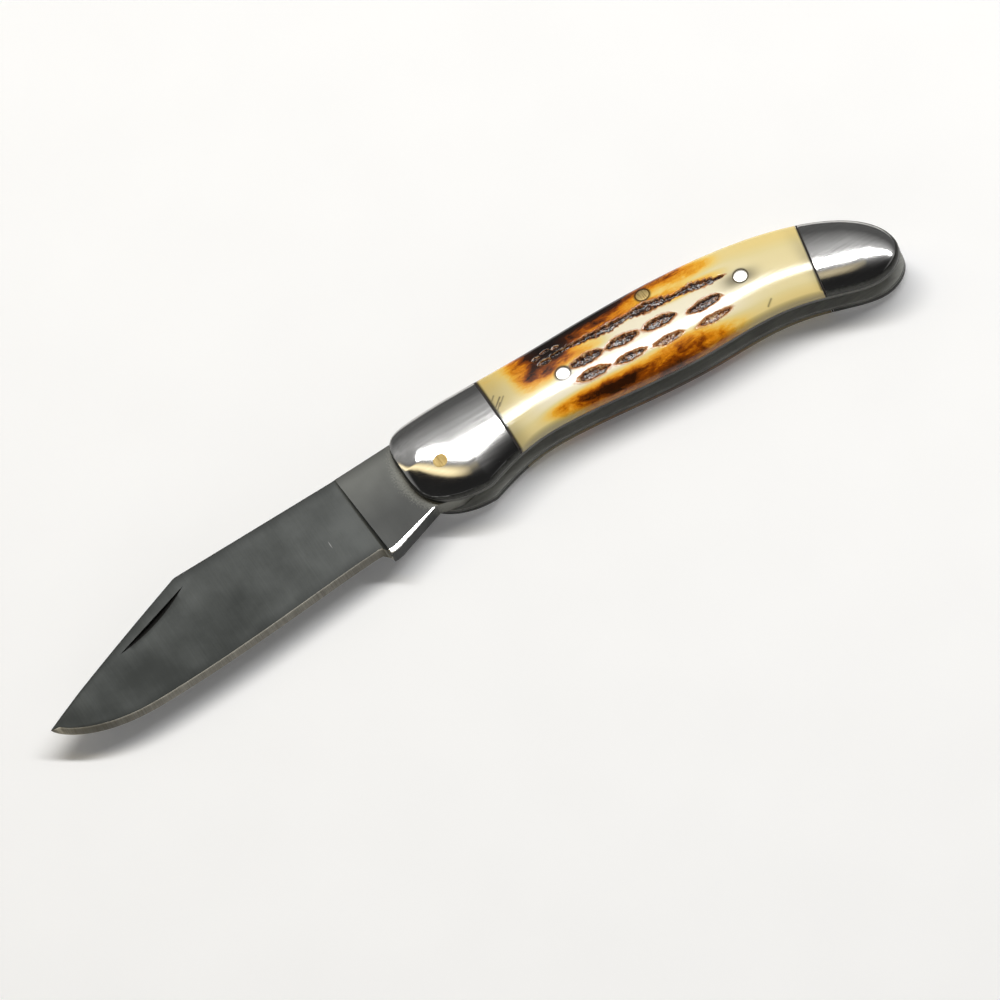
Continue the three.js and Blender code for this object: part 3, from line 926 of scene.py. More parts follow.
@dataclass(frozen=True)
class PinMetal:
    """Soft wire metal, peened and filed flush, so that fine file marks cross its heads."""

    name: str
    colour: str
    mark: str
    roughness: float

    def material(self) -> Material:
        """Builds the material.

        Returns:
            The metal with file marks about a quarter of a millimetre apart.
        """
        material, tree, shader = begin(self.name)
        where = add(tree, COORDINATES).outputs["Object"]
        lines = add(tree, MAPPING, {
            "Vector": where, "Rotation": (0, 0, math.radians(31)), "Scale": (4000, 300, 300)})
        file_marks = add(tree, NOISE, {"Vector": lines, "Scale": 1.0, "Detail": 2.0})
        tone = add(tree, RAMP, (file_marks,))
        set_ramp(tone, [(0.32, self.mark), (0.52, self.colour)])
        relief = add(tree, BUMP, {"Height": file_marks, "Strength": 0.35, "Distance": 0.00003})
        feed(shader, {
            "Base Color": tone, "Normal": relief, "Metallic": 1.0, "Roughness": self.roughness})
        return material


@dataclass(frozen=True)
class VulcanFibre:
    """Vulcanised fibre sheet: dull, near black, with a felted grain."""

    name: str = "black_vulcanised_fibre"
    colour: str = "#1a1613"
    light: str = "#3a3028"

    def material(self) -> Material:
        """Builds the material.

        Returns:
            Dull black fibre.
        """
        material, tree, shader = begin(self.name)
        where = add(tree, COORDINATES).outputs["Object"]
        felt = add(tree, NOISE, {"Vector": where, "Scale": 2500.0, "Detail": 3.0})
        tone = add(tree, RAMP, (felt,))
        set_ramp(tone, [(0.4, self.colour), (0.75, self.light)])
        feed(shader, {"Base Color": tone, "Roughness": 0.75})
        return material


def finished(finish: Any) -> Any:
    """A field that holds a finish's material, made along with the set."""
    return field(default_factory=finish.material)


@dataclass(frozen=True)
class Finishes:
    """One material for each finish, made once."""

    blade: Material = finished(BladeSteel())
    edge: Material = finished(BrushedSteel(
        "stone_ground_edge", "#a5a298", "#86837a", 0.42, 0.05, (0.2, 6, 6), 0.1))
    # Painted shadow: near-black steel for the faces of the nail nick
    nick: Material = finished(BrushedSteel(
        "oil_darkened_nick_steel", "#2b2b29", "#171716", 0.5, 0.05, (0.4, 0.4, 0.4), 0.2))
    burnished: Material = finished(BrushedSteel(
        "burnished_steel", "#d2d2cf", "#b5b5b2", 0.2, 0.04, (0.3, 3, 3), 0.2))
    bolster: Material = finished(BrushedSteel(
        "buffed_stainless_steel", "#c9c8c6", "#bcbbb9", 0.1, 0.02, (14, 0.4, 0.4), 0.04))
    # Painted shade: a dark copy of the bolster steel for the bolsters' steep walls
    rim: Material = finished(BrushedSteel(
        "tarnished_steel_rim", "#4c4c49", "#30302e", 0.36, 0.06, (0.5, 0.5, 0.5), 0.2))
    # Painted shade: a darker copy of the liner steel for the plates' edges
    liner: Material = finished(BrushedSteel(
        "oiled_liner_steel", "#6d6d69", "#4a4a47", 0.4, 0.06, (6, 0.3, 0.3), 0.4))
    # Its oxide skin is grey of itself, so the slot's wall stays light where it mirrors nothing
    liner_face: Material = finished(BrushedSteel(
        "rolled_liner_steel", "#a9a9a3", "#8a8a85", 0.6, 0.06, (5, 0.5, 0.5), 0.3, metallic=0.3))
    spring: Material = finished(BrushedSteel(
        "surface_ground_spring_steel", "#a3a3a0", "#7f7f7c", 0.34, 0.06, (6, 0.3, 0.3), 0.4))
    brass: Material = finished(PinMetal("filed_brass", "#bca672", "#856f43", 0.55))
    nickel_silver: Material = finished(PinMetal("filed_nickel_silver", "#e4e2dc", "#cfcdc6", 0.28))
    bone: Material = finished(BurntBone())
    fibre: Material = finished(VulcanFibre())


# ---------------------------------------------------------------------------- blade


@dataclass(frozen=True)
class Blade:
    """The clip-point blade with its ground faces, plunge, flat, kick, tang and nail nick."""

    half: float = STACK.blade_half
    tip: tuple[float, float] = (-94.7, -3.35)
    back_level: float = 11.3
    clip_length: float = 37.4
    clip_swell: float = 0.25
    plunge: float = -19.4
    plunge_lean: float = 1.26
    plunge_depth: float = 21.8
    cove: float = 0.8
    shoulder: float = -5.4
    shoulder_rise: float = 0.4
    kick: tuple[float, float] = (19.0, 7.3)
    kick_toe: float = 0.7
    kick_flat: float = 1.2
    choil: tuple[float, float] = (-5.2, -6.3)
    notch: float = 1.9
    heel_drop: float = 8.8
    belly_drop: float = 11.75
    belly_setback: float = 22.5
    grind_step: float = 0.12
    grind_slope: float = math.tan(math.radians(2.7))
    bevel: float = 1.3
    point_taper: float = 9.0
    crest: float = 0.12
    roll_slope: float = 0.055
    flat_level: float = 7.3
    flat_reach: float = 4.6
    closing_turn: float = -170.0
    bore_radius: float = 1.7
    nick: tuple[float, float] = (-66.9, 5.3)
    nick_length: float = 19.0
    nick_depth: float = 0.5
    nick_tilt: float = 25.0
    nick_turn: float = 17.7
    nick_slot: int = 3
    # Sections ahead of the plunge, across it and behind it
    stations: tuple[int, int, int] = (150, 16, 64)

    def closed(self, x: float, y: float) -> Array:
        """A point of the tang that stands at (x, y) once the blade is shut."""
        return turned((x, y), self.closing_turn)

    def back(self, x: Array) -> Array:
        """Height of the back: straight, then the clip down to the point.

        Args:
            x: Places along the blade.

        Returns:
            Heights.
        """
        share = np.clip((self.tip[0] + self.clip_length - x) / self.clip_length, 0, 1)
        clip = self.back_level + (self.tip[1] - self.back_level) * share
        clip = clip + self.clip_swell * np.sin(math.pi * share)
        rise = np.clip((x - self.plunge) / (self.shoulder - self.plunge), 0, 1)
        return clip + self.shoulder_rise * rise

    def lower(self, x: Array) -> Array:
        """Height of the edge, and behind the kick of the flat's lower side.

        Args:
            x: Places along the blade.

        Returns:
            Heights.
        """
        kick = self.closed(*self.kick)
        toe = kick[0] - self.kick_toe
        flat_end = self.closed(self.kick[0] - self.kick_flat, self.kick[1])
        heel = toe - self.notch
        belly = self.tip[0] + self.belly_setback
        step = eased_curve(x, heel, -self.heel_drop, toe, kick[1], 1)
        run = eased_curve(x, heel, -self.heel_drop, belly, -self.belly_drop, 0.77)
        point = quarter_arc(x, belly, -self.belly_drop, *self.tip, 2.3, 0.72)
        flat = np.interp(x, [toe, kick[0], flat_end[0], self.choil[0]],
                         [kick[1], kick[1], flat_end[1], self.choil[1]])
        return np.select([x < belly, x < heel, x < toe], [point, run, step], flat)

    def cove_share(self, x: Array, y: Array) -> Array:
        """Share of the plunge's climb at a point: none on the ground face, all on the flat."""
        line = self.plunge + self.plunge_lean * (self.back_level - y) / self.plunge_depth
        return np.clip((x - line + self.cove) / self.cove, 0, 1)

    def half_thickness(self, x: Array, y: Array) -> Array:
        """Half thickness of the blade at a point of its side view.

        Args:
            x, y: The point, or points.

        Returns:
            Distances from the middle.
        """
        ground = self.half - self.grind_step - (self.back_level - y) * self.grind_slope
        ground = ground * np.sqrt(np.clip((x - self.tip[0]) / self.point_taper, 0, 1))
        climb = self.cove_share(x, y)
        return ground + (self.half - ground) * (1 - np.sqrt(1 - climb ** 2))

    def section(self, top: float) -> tuple[Array, Array]:
        """One leaning section of the blade.

        Args:
            top: Place along the back where the section starts.

        Returns:
            The ring of points and the material slot of each side of it.
        """
        lean = np.interp(top, [-45, self.plunge - 2, self.plunge + 1, -11], [0, 1, 1, 0])
        foot = top + self.plunge_lean * lean
        low, high = float(self.lower(foot)), float(self.back(top))

        def leaning(height: Array) -> Array:
            """Places along the blade where this section reaches some heights."""
            down = (high - height) / max(high - low, 1e-6)
            return top + (foot - top) * np.clip(down, 0, 1)

        slope = float(self.lower(foot - 0.05) - self.lower(foot + 0.05)) / 0.1
        bevel = min(self.bevel * math.hypot(1, slope), (high - low) * 0.6)
        shoulder = float(self.half_thickness(foot, low + bevel))
        climb = float(self.cove_share(foot, low)) ** 3
        # The whetted bevel swells a little between the edge and its shoulder
        ground = np.array([(0, 0), (0, 0.03), (0.2, 0.22), (0.4, 0.42), (0.6, 0.62), (0.8, 0.81),
                           (1, 1)]) * [bevel, shoulder]
        # Behind the kick the lower side is square, rolled over towards the face and burnished
        roll = np.interp(foot, [-18, -6], [1.25, 0.35])
        corner, drop = self.crest, roll * self.roll_slope
        flat = np.array([
            [0, 0], [0, self.half - drop - corner],
            [corner * 0.3, self.half - drop - corner * 0.3], [corner, self.half - drop],
            *[[corner + roll * u, self.half - drop * (1 - u) ** 2] for u in (0.33, 0.66, 1)]])
        bottom = ground + (flat - ground) * climb
        bottom = bottom + [low, 0]
        start = bottom[-1]
        edge = min(self.crest, 0.4 * float(self.half_thickness(top, high)))
        reach = max(high - edge - start[0], 0)
        faces = np.array([[start[0] + reach * v, 0] for v in np.linspace(0, 1, 9)[1:]])
        faces[:, 1] = self.half_thickness(leaning(faces[:, 0]), faces[:, 0])
        wall = faces[-1, 1]
        crest = np.array([[high - edge * 0.3, wall - edge * 0.3], [high, wall - edge], [high, 0]])
        mark = np.vstack([bottom, faces, crest])
        mark = np.column_stack([leaning(mark[:, 0]), mark])
        pile = (mark * [1, 1, -1])[1:-1][::-1]
        # The bevel is the edge's finish; behind the kick the rolled corner is burnished
        slots = np.zeros(len(mark) - 1, int)
        if climb < 0.5:
            slots[:6] = 1
        else:
            slots[2:6] = 2
        return np.vstack([mark, pile]), np.concatenate([slots, slots[::-1]])

    def ground_body(self) -> Mesh:
        """Lofts the blade from the point to where the bolsters hide it.

        Returns:
            The closed mesh, with the slots of its finishes.
        """
        ahead, across, behind = self.stations
        tops = np.concatenate([
            self.tip[0] + 0.01 + (self.plunge - self.cove - 0.1 - self.tip[0]) *
            (1 - np.cos(np.linspace(0, math.pi / 2, ahead))),
            np.linspace(self.plunge - self.cove - 0.05, self.plunge + 0.02, across),
            np.linspace(self.plunge + 0.25, self.shoulder, behind)])
        rings, slots = zip(*[self.section(float(top)) for top in tops])
        return tube(rings, "blade_loft", np.stack(slots))

    def tang(self) -> Mesh:
        """The tang's plate with its flats for open, half stop and closed.

        Returns:
            The closed plate.
        """
        flat, reach = self.flat_level, self.flat_reach
        top = self.back_level + self.shoulder_rise
        outline = np.array([
            (self.shoulder - 0.8, -6.2), self.choil, self.closed(2.0, flat),
            self.closed(-reach, flat), (flat, -reach), (flat, reach), (reach, flat),
            (self.shoulder, flat), (self.shoulder, top), (self.shoulder - 0.8, top - 0.03)])
        return eased_plate(outline, -self.half, self.half, 0.05, "tang_plate")

    def nick_disc(self) -> Mesh:
        """The tilted disc that cuts the nail nick into the mark face.

        Returns:
            The cutter, in the slot of the nick's finish.
        """
        tilt, turn = math.radians(self.nick_tilt), math.radians(self.nick_turn)
        slant = self.nick_depth / math.cos(tilt)
        radius = ((self.nick_length / 2) ** 2 + slant ** 2) / (2 * slant)
        angle = np.linspace(0, 2 * math.pi, 360, endpoint=False)
        circle = np.column_stack([radius * np.cos(angle), np.zeros(360),
                                  radius * np.sin(angle) + radius - slant])
        seat = Matrix.Translation((*self.nick, float(self.half_thickness(*self.nick))))
        seat = seat @ Matrix.Rotation(turn, 4, "Z") @ Matrix.Rotation(-tilt, 4, "X")
        mesh = tube([np.array([seat @ Vector(point) for point in circle + [0, back, 0]])
                     for back in (0, -10)], "nick_disc")
        # Painted shadow: every face the disc cuts takes the near-black steel
        for face in mesh.polygons:
            face.material_index = self.nick_slot
        return mesh

    def bore(self) -> Mesh:
        """The cutter for the pivot's hole.

        Returns:
            The cutter, a drum that goes right through.
        """
        angle = np.linspace(0, 2 * math.pi, 64, endpoint=False)
        across, along = self.bore_radius * np.cos(angle), self.bore_radius * np.sin(angle)
        return tube([np.column_stack([across, along, np.full(64, z)]) for z in (-4.0, 4.0)],
                    "pivot_bore")

    def build(self, finishes: Finishes) -> None:
        """Joins the ground blade and the tang, cuts the nick and the bore, and places it.

        Args:
            finishes: The materials.
        """
        steels = (finishes.blade, finishes.edge, finishes.burnished, finishes.nick)
        body = linked("blade_work", self.ground_body())
        for steel in steels:
            body.data.materials.append(steel)
        tools = []
        for operation, mesh in (("UNION", self.tang()), ("DIFFERENCE", self.nick_disc()),
                                ("DIFFERENCE", self.bore())):
            for steel in steels:
                mesh.materials.append(steel)
            tool = linked(mesh.name, mesh)
            tools.append(tool)
            cut = body.modifiers.new(mesh.name, "BOOLEAN")
            cut.operation, cut.object, cut.solver = operation, tool, "MANIFOLD"
        made = evaluated_mesh(body)
        made.name = "clip_point_blade"
        discard(body, *tools)
        smooth(made, 28)
        place("clip_point_blade", made, steels, "blade", "satin_steel", "blade")


# ---------------------------------------------------------------------------- handle frame


@dataclass(frozen=True)
class Backspring:
    """The bar along the spine that snaps the blade open and shut."""

    underside: float = 7.4
    front: float = -5.3
    flat_end: float = 24.0
    tail: tuple[float, float] = (97.7, -12.0)
    half: float = 1.7

    def lower(self, x: Array) -> Array:
        """Height of the underside from the end of its flat to the tail."""
        return quarter_arc(x, self.flat_end, self.underside, *self.tail, 2, 0.5)

    def outline(self) -> Array:
        """Closed outline, counter-clockwise, from the front over the underside.

        Returns:
            The points, one row each.
        """
        bend = np.sin(np.linspace(0, math.pi / 2, 160))
        places = self.flat_end + (self.tail[0] - self.flat_end) * bend
        under = np.stack([places, self.lower(places)], axis=1)
        top = even_points(OUTLINE.chain(OUTLINE.butt, self.front, True), 320)[1:]
        return np.vstack([[[self.front, self.underside]], under,
                          [[OUTLINE.butt, OUTLINE.butt_height]], top])

    def build(self, finishes: Finishes) -> None:
        """Builds the spring and places it between the liners."""
        mesh = eased_plate(self.outline(), -self.half, self.half, 0.06, "backspring_bar")
        place("backspring_bar", mesh, (finishes.spring,), "handle", "spring_steel", "backspring")


@dataclass(frozen=True)
class Liners:
    """The two steel plates that hold the blade's slot open."""

    points: int = 900
    ease: float = 0.07

    def build(self, finishes: Finishes) -> None:
        """Builds a liner for each side.

        Args:
            finishes: The materials.
        """
        outline = OUTLINE.whole(self.points)
        mark = eased_plate(outline, STACK.slot_half, STACK.liner_outer, self.ease, "liner_plate")
        # Painted shade: the edges take the darker steel, the flat faces the lighter
        for face in mark.polygons:
            face.material_index = int(abs(face.normal.z) > 0.9)
        for side in Side:
            name = f"{side.word}_liner_plate"
            place(name, handed(mark, name, side), (finishes.liner, finishes.liner_face), "handle",
                  "spring_steel", f"{side.word}_liner")


# ---------------------------------------------------------------------------- covers


@dataclass(frozen=True)
class Seams:
    """Where the covers are cut across: upright in front, leaning at the rear."""

    front: float = 14.6
    rear: float = 84.4
    rear_angle: float = 9.4
    spacer_half: float = 0.2
    fit: float = 0.05

    def at(self, front: bool, share: Array, offset: float) -> Array:
        """Places along the handle where the lines of some shares meet a seam.

        Args:
            front: Whether it is the front seam, which is upright.
            share: Shares of the way from the ridge to the rim.
            offset: How far behind the seam's middle.

        Returns:
            One place for each share.
        """
        if front:
            return np.full(np.shape(share), self.front + offset)
        x = np.full(np.shape(share), self.rear + offset)
        level = float(OUTLINE.middle(self.rear))
        for _ in range(8):
            y = OUTLINE.across(x, share)
            x = self.rear + offset + math.tan(math.radians(self.rear_angle)) * (y - level)
        return x


@dataclass(frozen=True)
class Stain:
    """One soft darkening of the bone, used for burns, smudges and painted shade: where it lies, how
    far it reaches and how dark it is.
    """

    x: float
    share: float
    length: float
    width: float
    depth: float
    square: float = 2.0

    def darkness(self, x: Array, share: Array) -> Array:
        """How dark the stain is at points of the scale.

        Args:
            x, share: The points.

        Returns:
            From 0 to the stain's own depth.
        """
        reach = np.abs((x - self.x) / self.length) ** self.square
        reach = reach + np.abs((share - self.share) / self.width) ** self.square
        return self.depth * np.exp(-reach)


@dataclass(frozen=True)
class Grime:
    """Dark residue in a ring round a pin."""

    x: float
    y: float
    radius: float
    width: float
    depth: float

    def darkness(self, x: Array, y: Array) -> Array:
        """How dark the residue is at points of the side view."""
        away = np.abs(np.hypot(x - self.x, y - self.y) - self.radius)
        return self.depth * np.exp(-(away / self.width) ** 2)


@dataclass(frozen=True)
class Streak:
    """A scratch that has filled with residue, from one point of the scale to another."""

    start: tuple[float, float]
    end: tuple[float, float]
    width: float
    depth: float
    half_height: float = 10.5

    def darkness(self, x: Array, share: Array) -> Array:
        """How dark the streak is at points of the scale.

        Args:
            x, share: The points.

        Returns:
            From 0 to the streak's own depth.
        """
        points = np.stack([x, share * self.half_height], axis=-1)
        start, end = (np.array(point) * [1, self.half_height] for point in (self.start, self.end))
        run = end - start
        along = np.clip((points - start) @ run / (run @ run), 0, 1)
        away = np.linalg.norm(points - start - along[:, None] * run, axis=1)
        return self.depth * np.exp(-(away / self.width) ** 2)


@dataclass(frozen=True)
class Groove:
    """One scoop of the jigging, as a pointed oval."""

    x: float
    share: float
    half_length: float
    half_width: float
    depth: float
    ragged: float
    worn: float = 0.0


@dataclass
class Covers:
    """Bolsters, spacers and bone scales, cut from one crowned body a side."""

    seams: Seams = field(default_factory=Seams)
    rim_tilt: float = 0.74
    keel: float = 1.3
    crown_points: int = 46
    nose_points: int = 230
    butt_points: int = 170
    bolster_stations: int = 34
    spacer_drop: float = 0.03
    carve_points: int = 76
    carve_stations: int = 430
    seeds: tuple[float, float] = (3.7, 11.2)
    chatter: float = 0.8
    # Share where the painted shade along the belly begins, and how dark it is at the rim
    mark_residue: tuple[float, float] = (-0.9, 0.55)
    pile_residue: tuple[float, float] = (-0.72, 0.92)
    # How far the residue round a pin lies from its rim, how wide it is and how dark
    pin_residue: tuple[float, float, float] = (0.1, 0.3, 1.0)
    stains: tuple[Stain, ...] = (
        # black rim along the spine, and the black that comes down from it
        Stain(38.0, 1.03, 13.5, 0.32, 1.1, 4.0),
        Stain(30.0, 0.72, 4.4, 0.42, 0.95, 2.8),
        Stain(31.0, 0.5, 2.6, 0.3, 0.5, 2.2),
        Stain(56.0, 1.0, 6.5, 0.2, 0.62, 2.6),
        Stain(61.0, 0.74, 6.0, 0.17, 0.34, 3.0),
        # amber patch behind the bolster, with its darker spots
        Stain(25.0, 0.46, 3.9, 0.5, 0.5, 3.4),
        Stain(24.3, 0.26, 1.3, 0.12, 0.5),
        Stain(25.8, 0.42, 1.1, 0.1, 0.42),
        Stain(28.2, 0.2, 1.6, 0.14, 0.4),
        # amber wedge above the channel, mottled brown in front
        Stain(35.2, 0.62, 4.2, 0.13, 0.62, 2.2),
        Stain(42.0, 0.68, 2.6, 0.1, 0.4),
        Stain(44.0, 0.6, 8.5, 0.13, 0.33, 3.0),
        # amber below the channel
        Stain(35.0, 0.24, 5.6, 0.13, 0.26, 3.0),
        Stain(46.0, 0.46, 14.0, 0.1, 0.36, 4.0),
        Stain(61.0, 0.34, 6.0, 0.1, 0.36, 3.0),
        # second flame along the belly
        Stain(37.5, -0.84, 9.0, 0.17, 0.84, 2.8),
        Stain(38.5, -0.68, 9.0, 0.12, 0.2, 2.8),
        Stain(27.5, -0.78, 4.4, 0.13, 0.34, 2.2),
        Stain(52.5, -0.82, 8.0, 0.25, 0.5, 2.8),
        Stain(54.0, -0.66, 4.0, 0.12, 0.3),
        Stain(60.5, -0.94, 6.0, 0.2, 0.28, 2.4),
        Stain(49.5, -0.98, 7.0, 0.12, 0.45, 2.4),
        # painted shade: a faint darkening of the cream at both ends and along the rims, which
        # leaves the crest palest as a painted sheen
        Stain(15.0, 0.3, 7.5, 1.3, 0.085, 3.0),
        Stain(84.0, 0.1, 18.0, 1.6, 0.06, 4.0),
        Stain(50.0, 1.0, 60.0, 0.5, 0.05, 4.0),
        Stain(50.0, -1.0, 60.0, 0.3, 0.05, 4.0),
    )
    smudges: tuple[Stain | Streak, ...] = (
        # buffing compound behind the front seam, round the rear silver pin and by the rear seam
        Stain(14.85, 0.0, 0.5, 3.0, 1.0),
        Streak((85.7, 0.9), (82.8, -0.9), 0.32, 0.8),
        Stain(14.6, 0.4, 5.6, 0.8, 0.34),
        Stain(14.6, -0.75, 3.0, 0.5, 0.48),
        Stain(70.3, 0.02, 3.5, 0.17, 0.8, 2.6),
        Stain(84.2, -0.3, 1.8, 0.9, 0.38),
        Stain(15.2, 0.22, 1.1, 0.3, 0.45),
        Streak((17.7, 0.21), (16.0, 0.05), 0.22, 0.75),
        Streak((17.0, 0.24), (15.2, 0.08), 0.26, 0.9),
        Streak((16.4, 0.12), (14.9, -0.03), 0.24, 0.85),
        Streak((16.1, 0.35), (14.9, 0.23), 0.26, 0.8),
        Streak((73.3, -0.74), (72.0, -0.86), 0.17, 0.75),
    )
    grooves: tuple[Groove, ...] = (
        # middle row
        Groove(35.8, 0.0, 3.9, 1.3, 0.6, 0.75), Groove(43.8, 0.0, 3.9, 1.25, 0.6, 0.7),
        Groove(52.0, -0.02, 4.0, 1.25, 0.6, 0.75), Groove(61.8, -0.15, 4.2, 1.2, 0.6, 0.8),
        # lower row
        Groove(35.3, -0.38, 3.9, 1.3, 0.55, 0.75, 0.1),
        Groove(43.5, -0.41, 3.6, 1.05, 0.5, 0.75, 0.14),
        Groove(51.7, -0.45, 3.6, 1.0, 0.5, 0.9, 0.27),
        Groove(61.8, -0.52, 4.1, 0.95, 0.5, 1.0, 0.25),
        # the short cuts ahead of the channel
        Groove(28.6, 0.44, 1.9, 0.75, 0.35, 1.3), Groove(27.3, 0.63, 1.0, 0.55, 0.3, 1.6),
        Groove(29.6, 0.68, 1.1, 0.5, 0.3, 1.6), Groove(31.8, 0.64, 1.0, 0.45, 0.25, 1.6),
    )
    channel_step: float = 1.3
    channel_cut: tuple[float, float, float] = (2.2, 0.55, 1.15)
    channel: tuple[tuple[float, float, float], ...] = (
        # place along, share and half width of the ragged channel by the spine
        (31.2, 0.48, 0.45), (35.0, 0.47, 0.5), (39.0, 0.44, 0.85), (43.0, 0.41, 1.1),
        (46.6, 0.43, 0.6), (51.0, 0.43, 1.4), (54.5, 0.37, 1.1), (57.4, 0.34, 0.42),
        (61.0, 0.34, 1.05), (64.5, 0.27, 0.8), (66.6, 0.24, 0.35))

    def all_grooves(self) -> tuple[Groove, ...]:
        """The scoops of the rows, and the channel's as a run that overlaps.

        Returns:
            Every scoop.
        """
        x, share, width = np.array(self.channel).T
        places = np.arange(x[0], x[-1] + 0.1, self.channel_step)
        half_length, depth, ragged = self.channel_cut
        run = [Groove(at, np.interp(at, x, share), half_length, np.interp(at, x, width), depth,
                      ragged) for at in places.tolist()]
        return self.grooves + tuple(run)

    def _sections(self, starts: Array, ends: Array | float, stations: int,
                  profile: Array) -> Array:
        """Sections of the cover between two seams.

        Args:
            starts: Place of the first seam for each point of the profile.
            ends: Place of the second, or of the level section that ends them.
            stations: How many steps lie between them.
            profile: Shares and heights of a section.

        Returns:
            Points by station and point of the profile.
        """
        x = starts + (ends - starts) * np.linspace(0, 1, stations + 1)[:, None]
        share, z = (np.broadcast_to(column, x.shape) for column in profile.T)
        return np.stack([x, OUTLINE.across(x, share), z], axis=2)

    def _strip(self, grid: Array, name: str) -> Mesh:
        """A closed piece under sections of the cover, with its seams' and its flat sides.

        Args:
            grid: Sections from seam to seam.
            name: Name of the mesh.

        Returns:
            The mesh.
        """
        shell = Shell()
        shell.sheet(grid)
        for ring in (grid[0], grid[-1], np.vstack([grid[:, 0], grid[::-1, -1]])):
            shell.cap(ring)
        mesh = shell.mesh(name)
        smooth(mesh, 40)
        return mesh

    def _fan(self, chain: Array, centre: Array, profile: Array) -> Array:
        """Meridians of the cover from one point of the ridge out to a chain of the outline.

        Args:
            chain: Points of the outline.
            centre: The point of the ridge.
            profile: Shares and heights from the ridge down.

        Returns:
            Points by spoke.
        """
        spokes = centre[None, None, :] + (chain[:, None, :] - centre) * profile[None, :, :1]
        heights = np.broadcast_to(profile[None, :, 1:], (*spokes.shape[:2], 1))
        return np.concatenate([spokes, heights], axis=2)

    def _keel(self, spokes: Array) -> Array:
        """The nose's spokes with their crown drawn up to a soft keel towards the tip.

        Args:
            spokes: Meridians of a plain fan, each with its two wall points last.

        Returns:
            The same points with new heights above the rim.
        """
        keeled = spokes.copy()
        crown = keeled[:, :self.crown_points]
        ridge = OUTLINE.front_ridge
        ahead = np.clip((ridge - crown[..., 0]) / (ridge - OUTLINE.nose), 0, 1)
        share = np.clip(np.abs(OUTLINE.share_of(crown[..., 0], crown[..., 1])), 0, 1)
        power = np.maximum(STACK.roundness - self.keel * ahead ** 1.5, 1.5)
        across = (1 - share ** power) ** (1 / power)
        along = (1 - ahead ** STACK.roundness) ** (1 / STACK.roundness)
        crown[..., 2] = STACK.cover_rim + STACK.crown * across * along
        crown[:, -1, 2] = STACK.cover_rim
        return keeled

    def bolster(self, front: bool) -> Mesh:
        """A bolster of the mark side.

        Args:
            front: Whether it is the one that carries the pivot.

        Returns:
            Its closed mesh.
        """
        profile = STACK.full_profile(self.crown_points)
        gap = self.seams.spacer_half + self.seams.fit
        starts = self.seams.at(front, profile[:, 0], -gap if front else gap)
        if front:
            end, chain = OUTLINE.front_ridge, OUTLINE.nose_chain(self.nose_points)
        else:
            end, chain = OUTLINE.rear_ridge, OUTLINE.butt_chain(self.butt_points)
        sections = self._sections(starts, end, self.bolster_stations, profile)
        centre = np.array([end, float(OUTLINE.ridge(end))])
        spokes = self._fan(chain, centre, STACK.half_profile(self.crown_points))
        if front:
            spokes = self._keel(spokes)
        shell = Shell()
        shell.sheet(sections)
        shell.sheet(spokes)
        shell.cap(sections[0])
        shell.cap(np.vstack([sections[:, 0], spokes[1:, -1], sections[::-1, -1][1:]]))
        mesh = shell.mesh("front_cover" if front else "rear_cover")
        # Painted shade: the steep walls, but not the seam faces, take the dark steel
        for face in mesh.polygons:
            steep, at_seam = abs(face.normal.z) < self.rim_tilt, abs(face.normal.x) > 0.99
            face.material_index = int(steep and not at_seam)
        smooth(mesh, 40)
        return mesh

    def spacer(self, front: bool) -> Mesh:
        """The thin black spacer of a seam on the mark side.

        Args:
            front: Whether it is the front seam's.

        Returns:
            Its closed mesh.
        """
        # It stands a hair lower than its neighbours, as it does once they are buffed
        profile = STACK.full_profile(self.crown_points) - [0, self.spacer_drop]
        profile[:, 1] = np.maximum(profile[:, 1], STACK.cover_base)
        half = self.seams.spacer_half
        starts, ends = (self.seams.at(front, profile[:, 0], offset) for offset in (-half, half))
        return self._strip(self._sections(starts, ends, 3, profile), "spacer_sheet")

    def blank(self) -> Mesh:
        """The bone scale of the mark side before it is jigged.

        Returns:
            Its closed mesh.
        """
        profile = STACK.full_profile(self.carve_points, even=True)
        gap = self.seams.spacer_half + self.seams.fit
        starts = self.seams.at(True, profile[:, 0], gap)
        ends = self.seams.at(False, profile[:, 0], -gap)
        grid = self._sections(starts, ends, self.carve_stations, profile)
        return self._strip(grid, "scale_blank")

    def groove_points(self) -> Object:
        """Points that carry the size of each groove, for the jigging tree.

        Returns:
            A helper object with one point for each groove.
        """
        grooves = self.all_grooves()
        x = np.array([groove.x for groove in grooves])
        share = np.array([groove.share for groove in grooves])
        y = OUTLINE.across(x, share)
        climb = (OUTLINE.across(x + 1, share) - OUTLINE.across(x - 1, share)) / 2
        mesh = bpy.data.meshes.new("groove_points")
        spots = np.column_stack([x, y, np.zeros(len(x))]) * MM + PIVOT * [1, 1, 0]
        mesh.from_pydata(spots.tolist(), [], [])
        store(mesh, "turn", np.arctan(climb))
        for name, unit in (("half_length", MM), ("half_width", MM), ("depth", MM), ("ragged", 1),
                           ("worn", 1)):
            store(mesh, name, [getattr(groove, name) * unit for groove in grooves])
        return linked("groove_points", mesh)

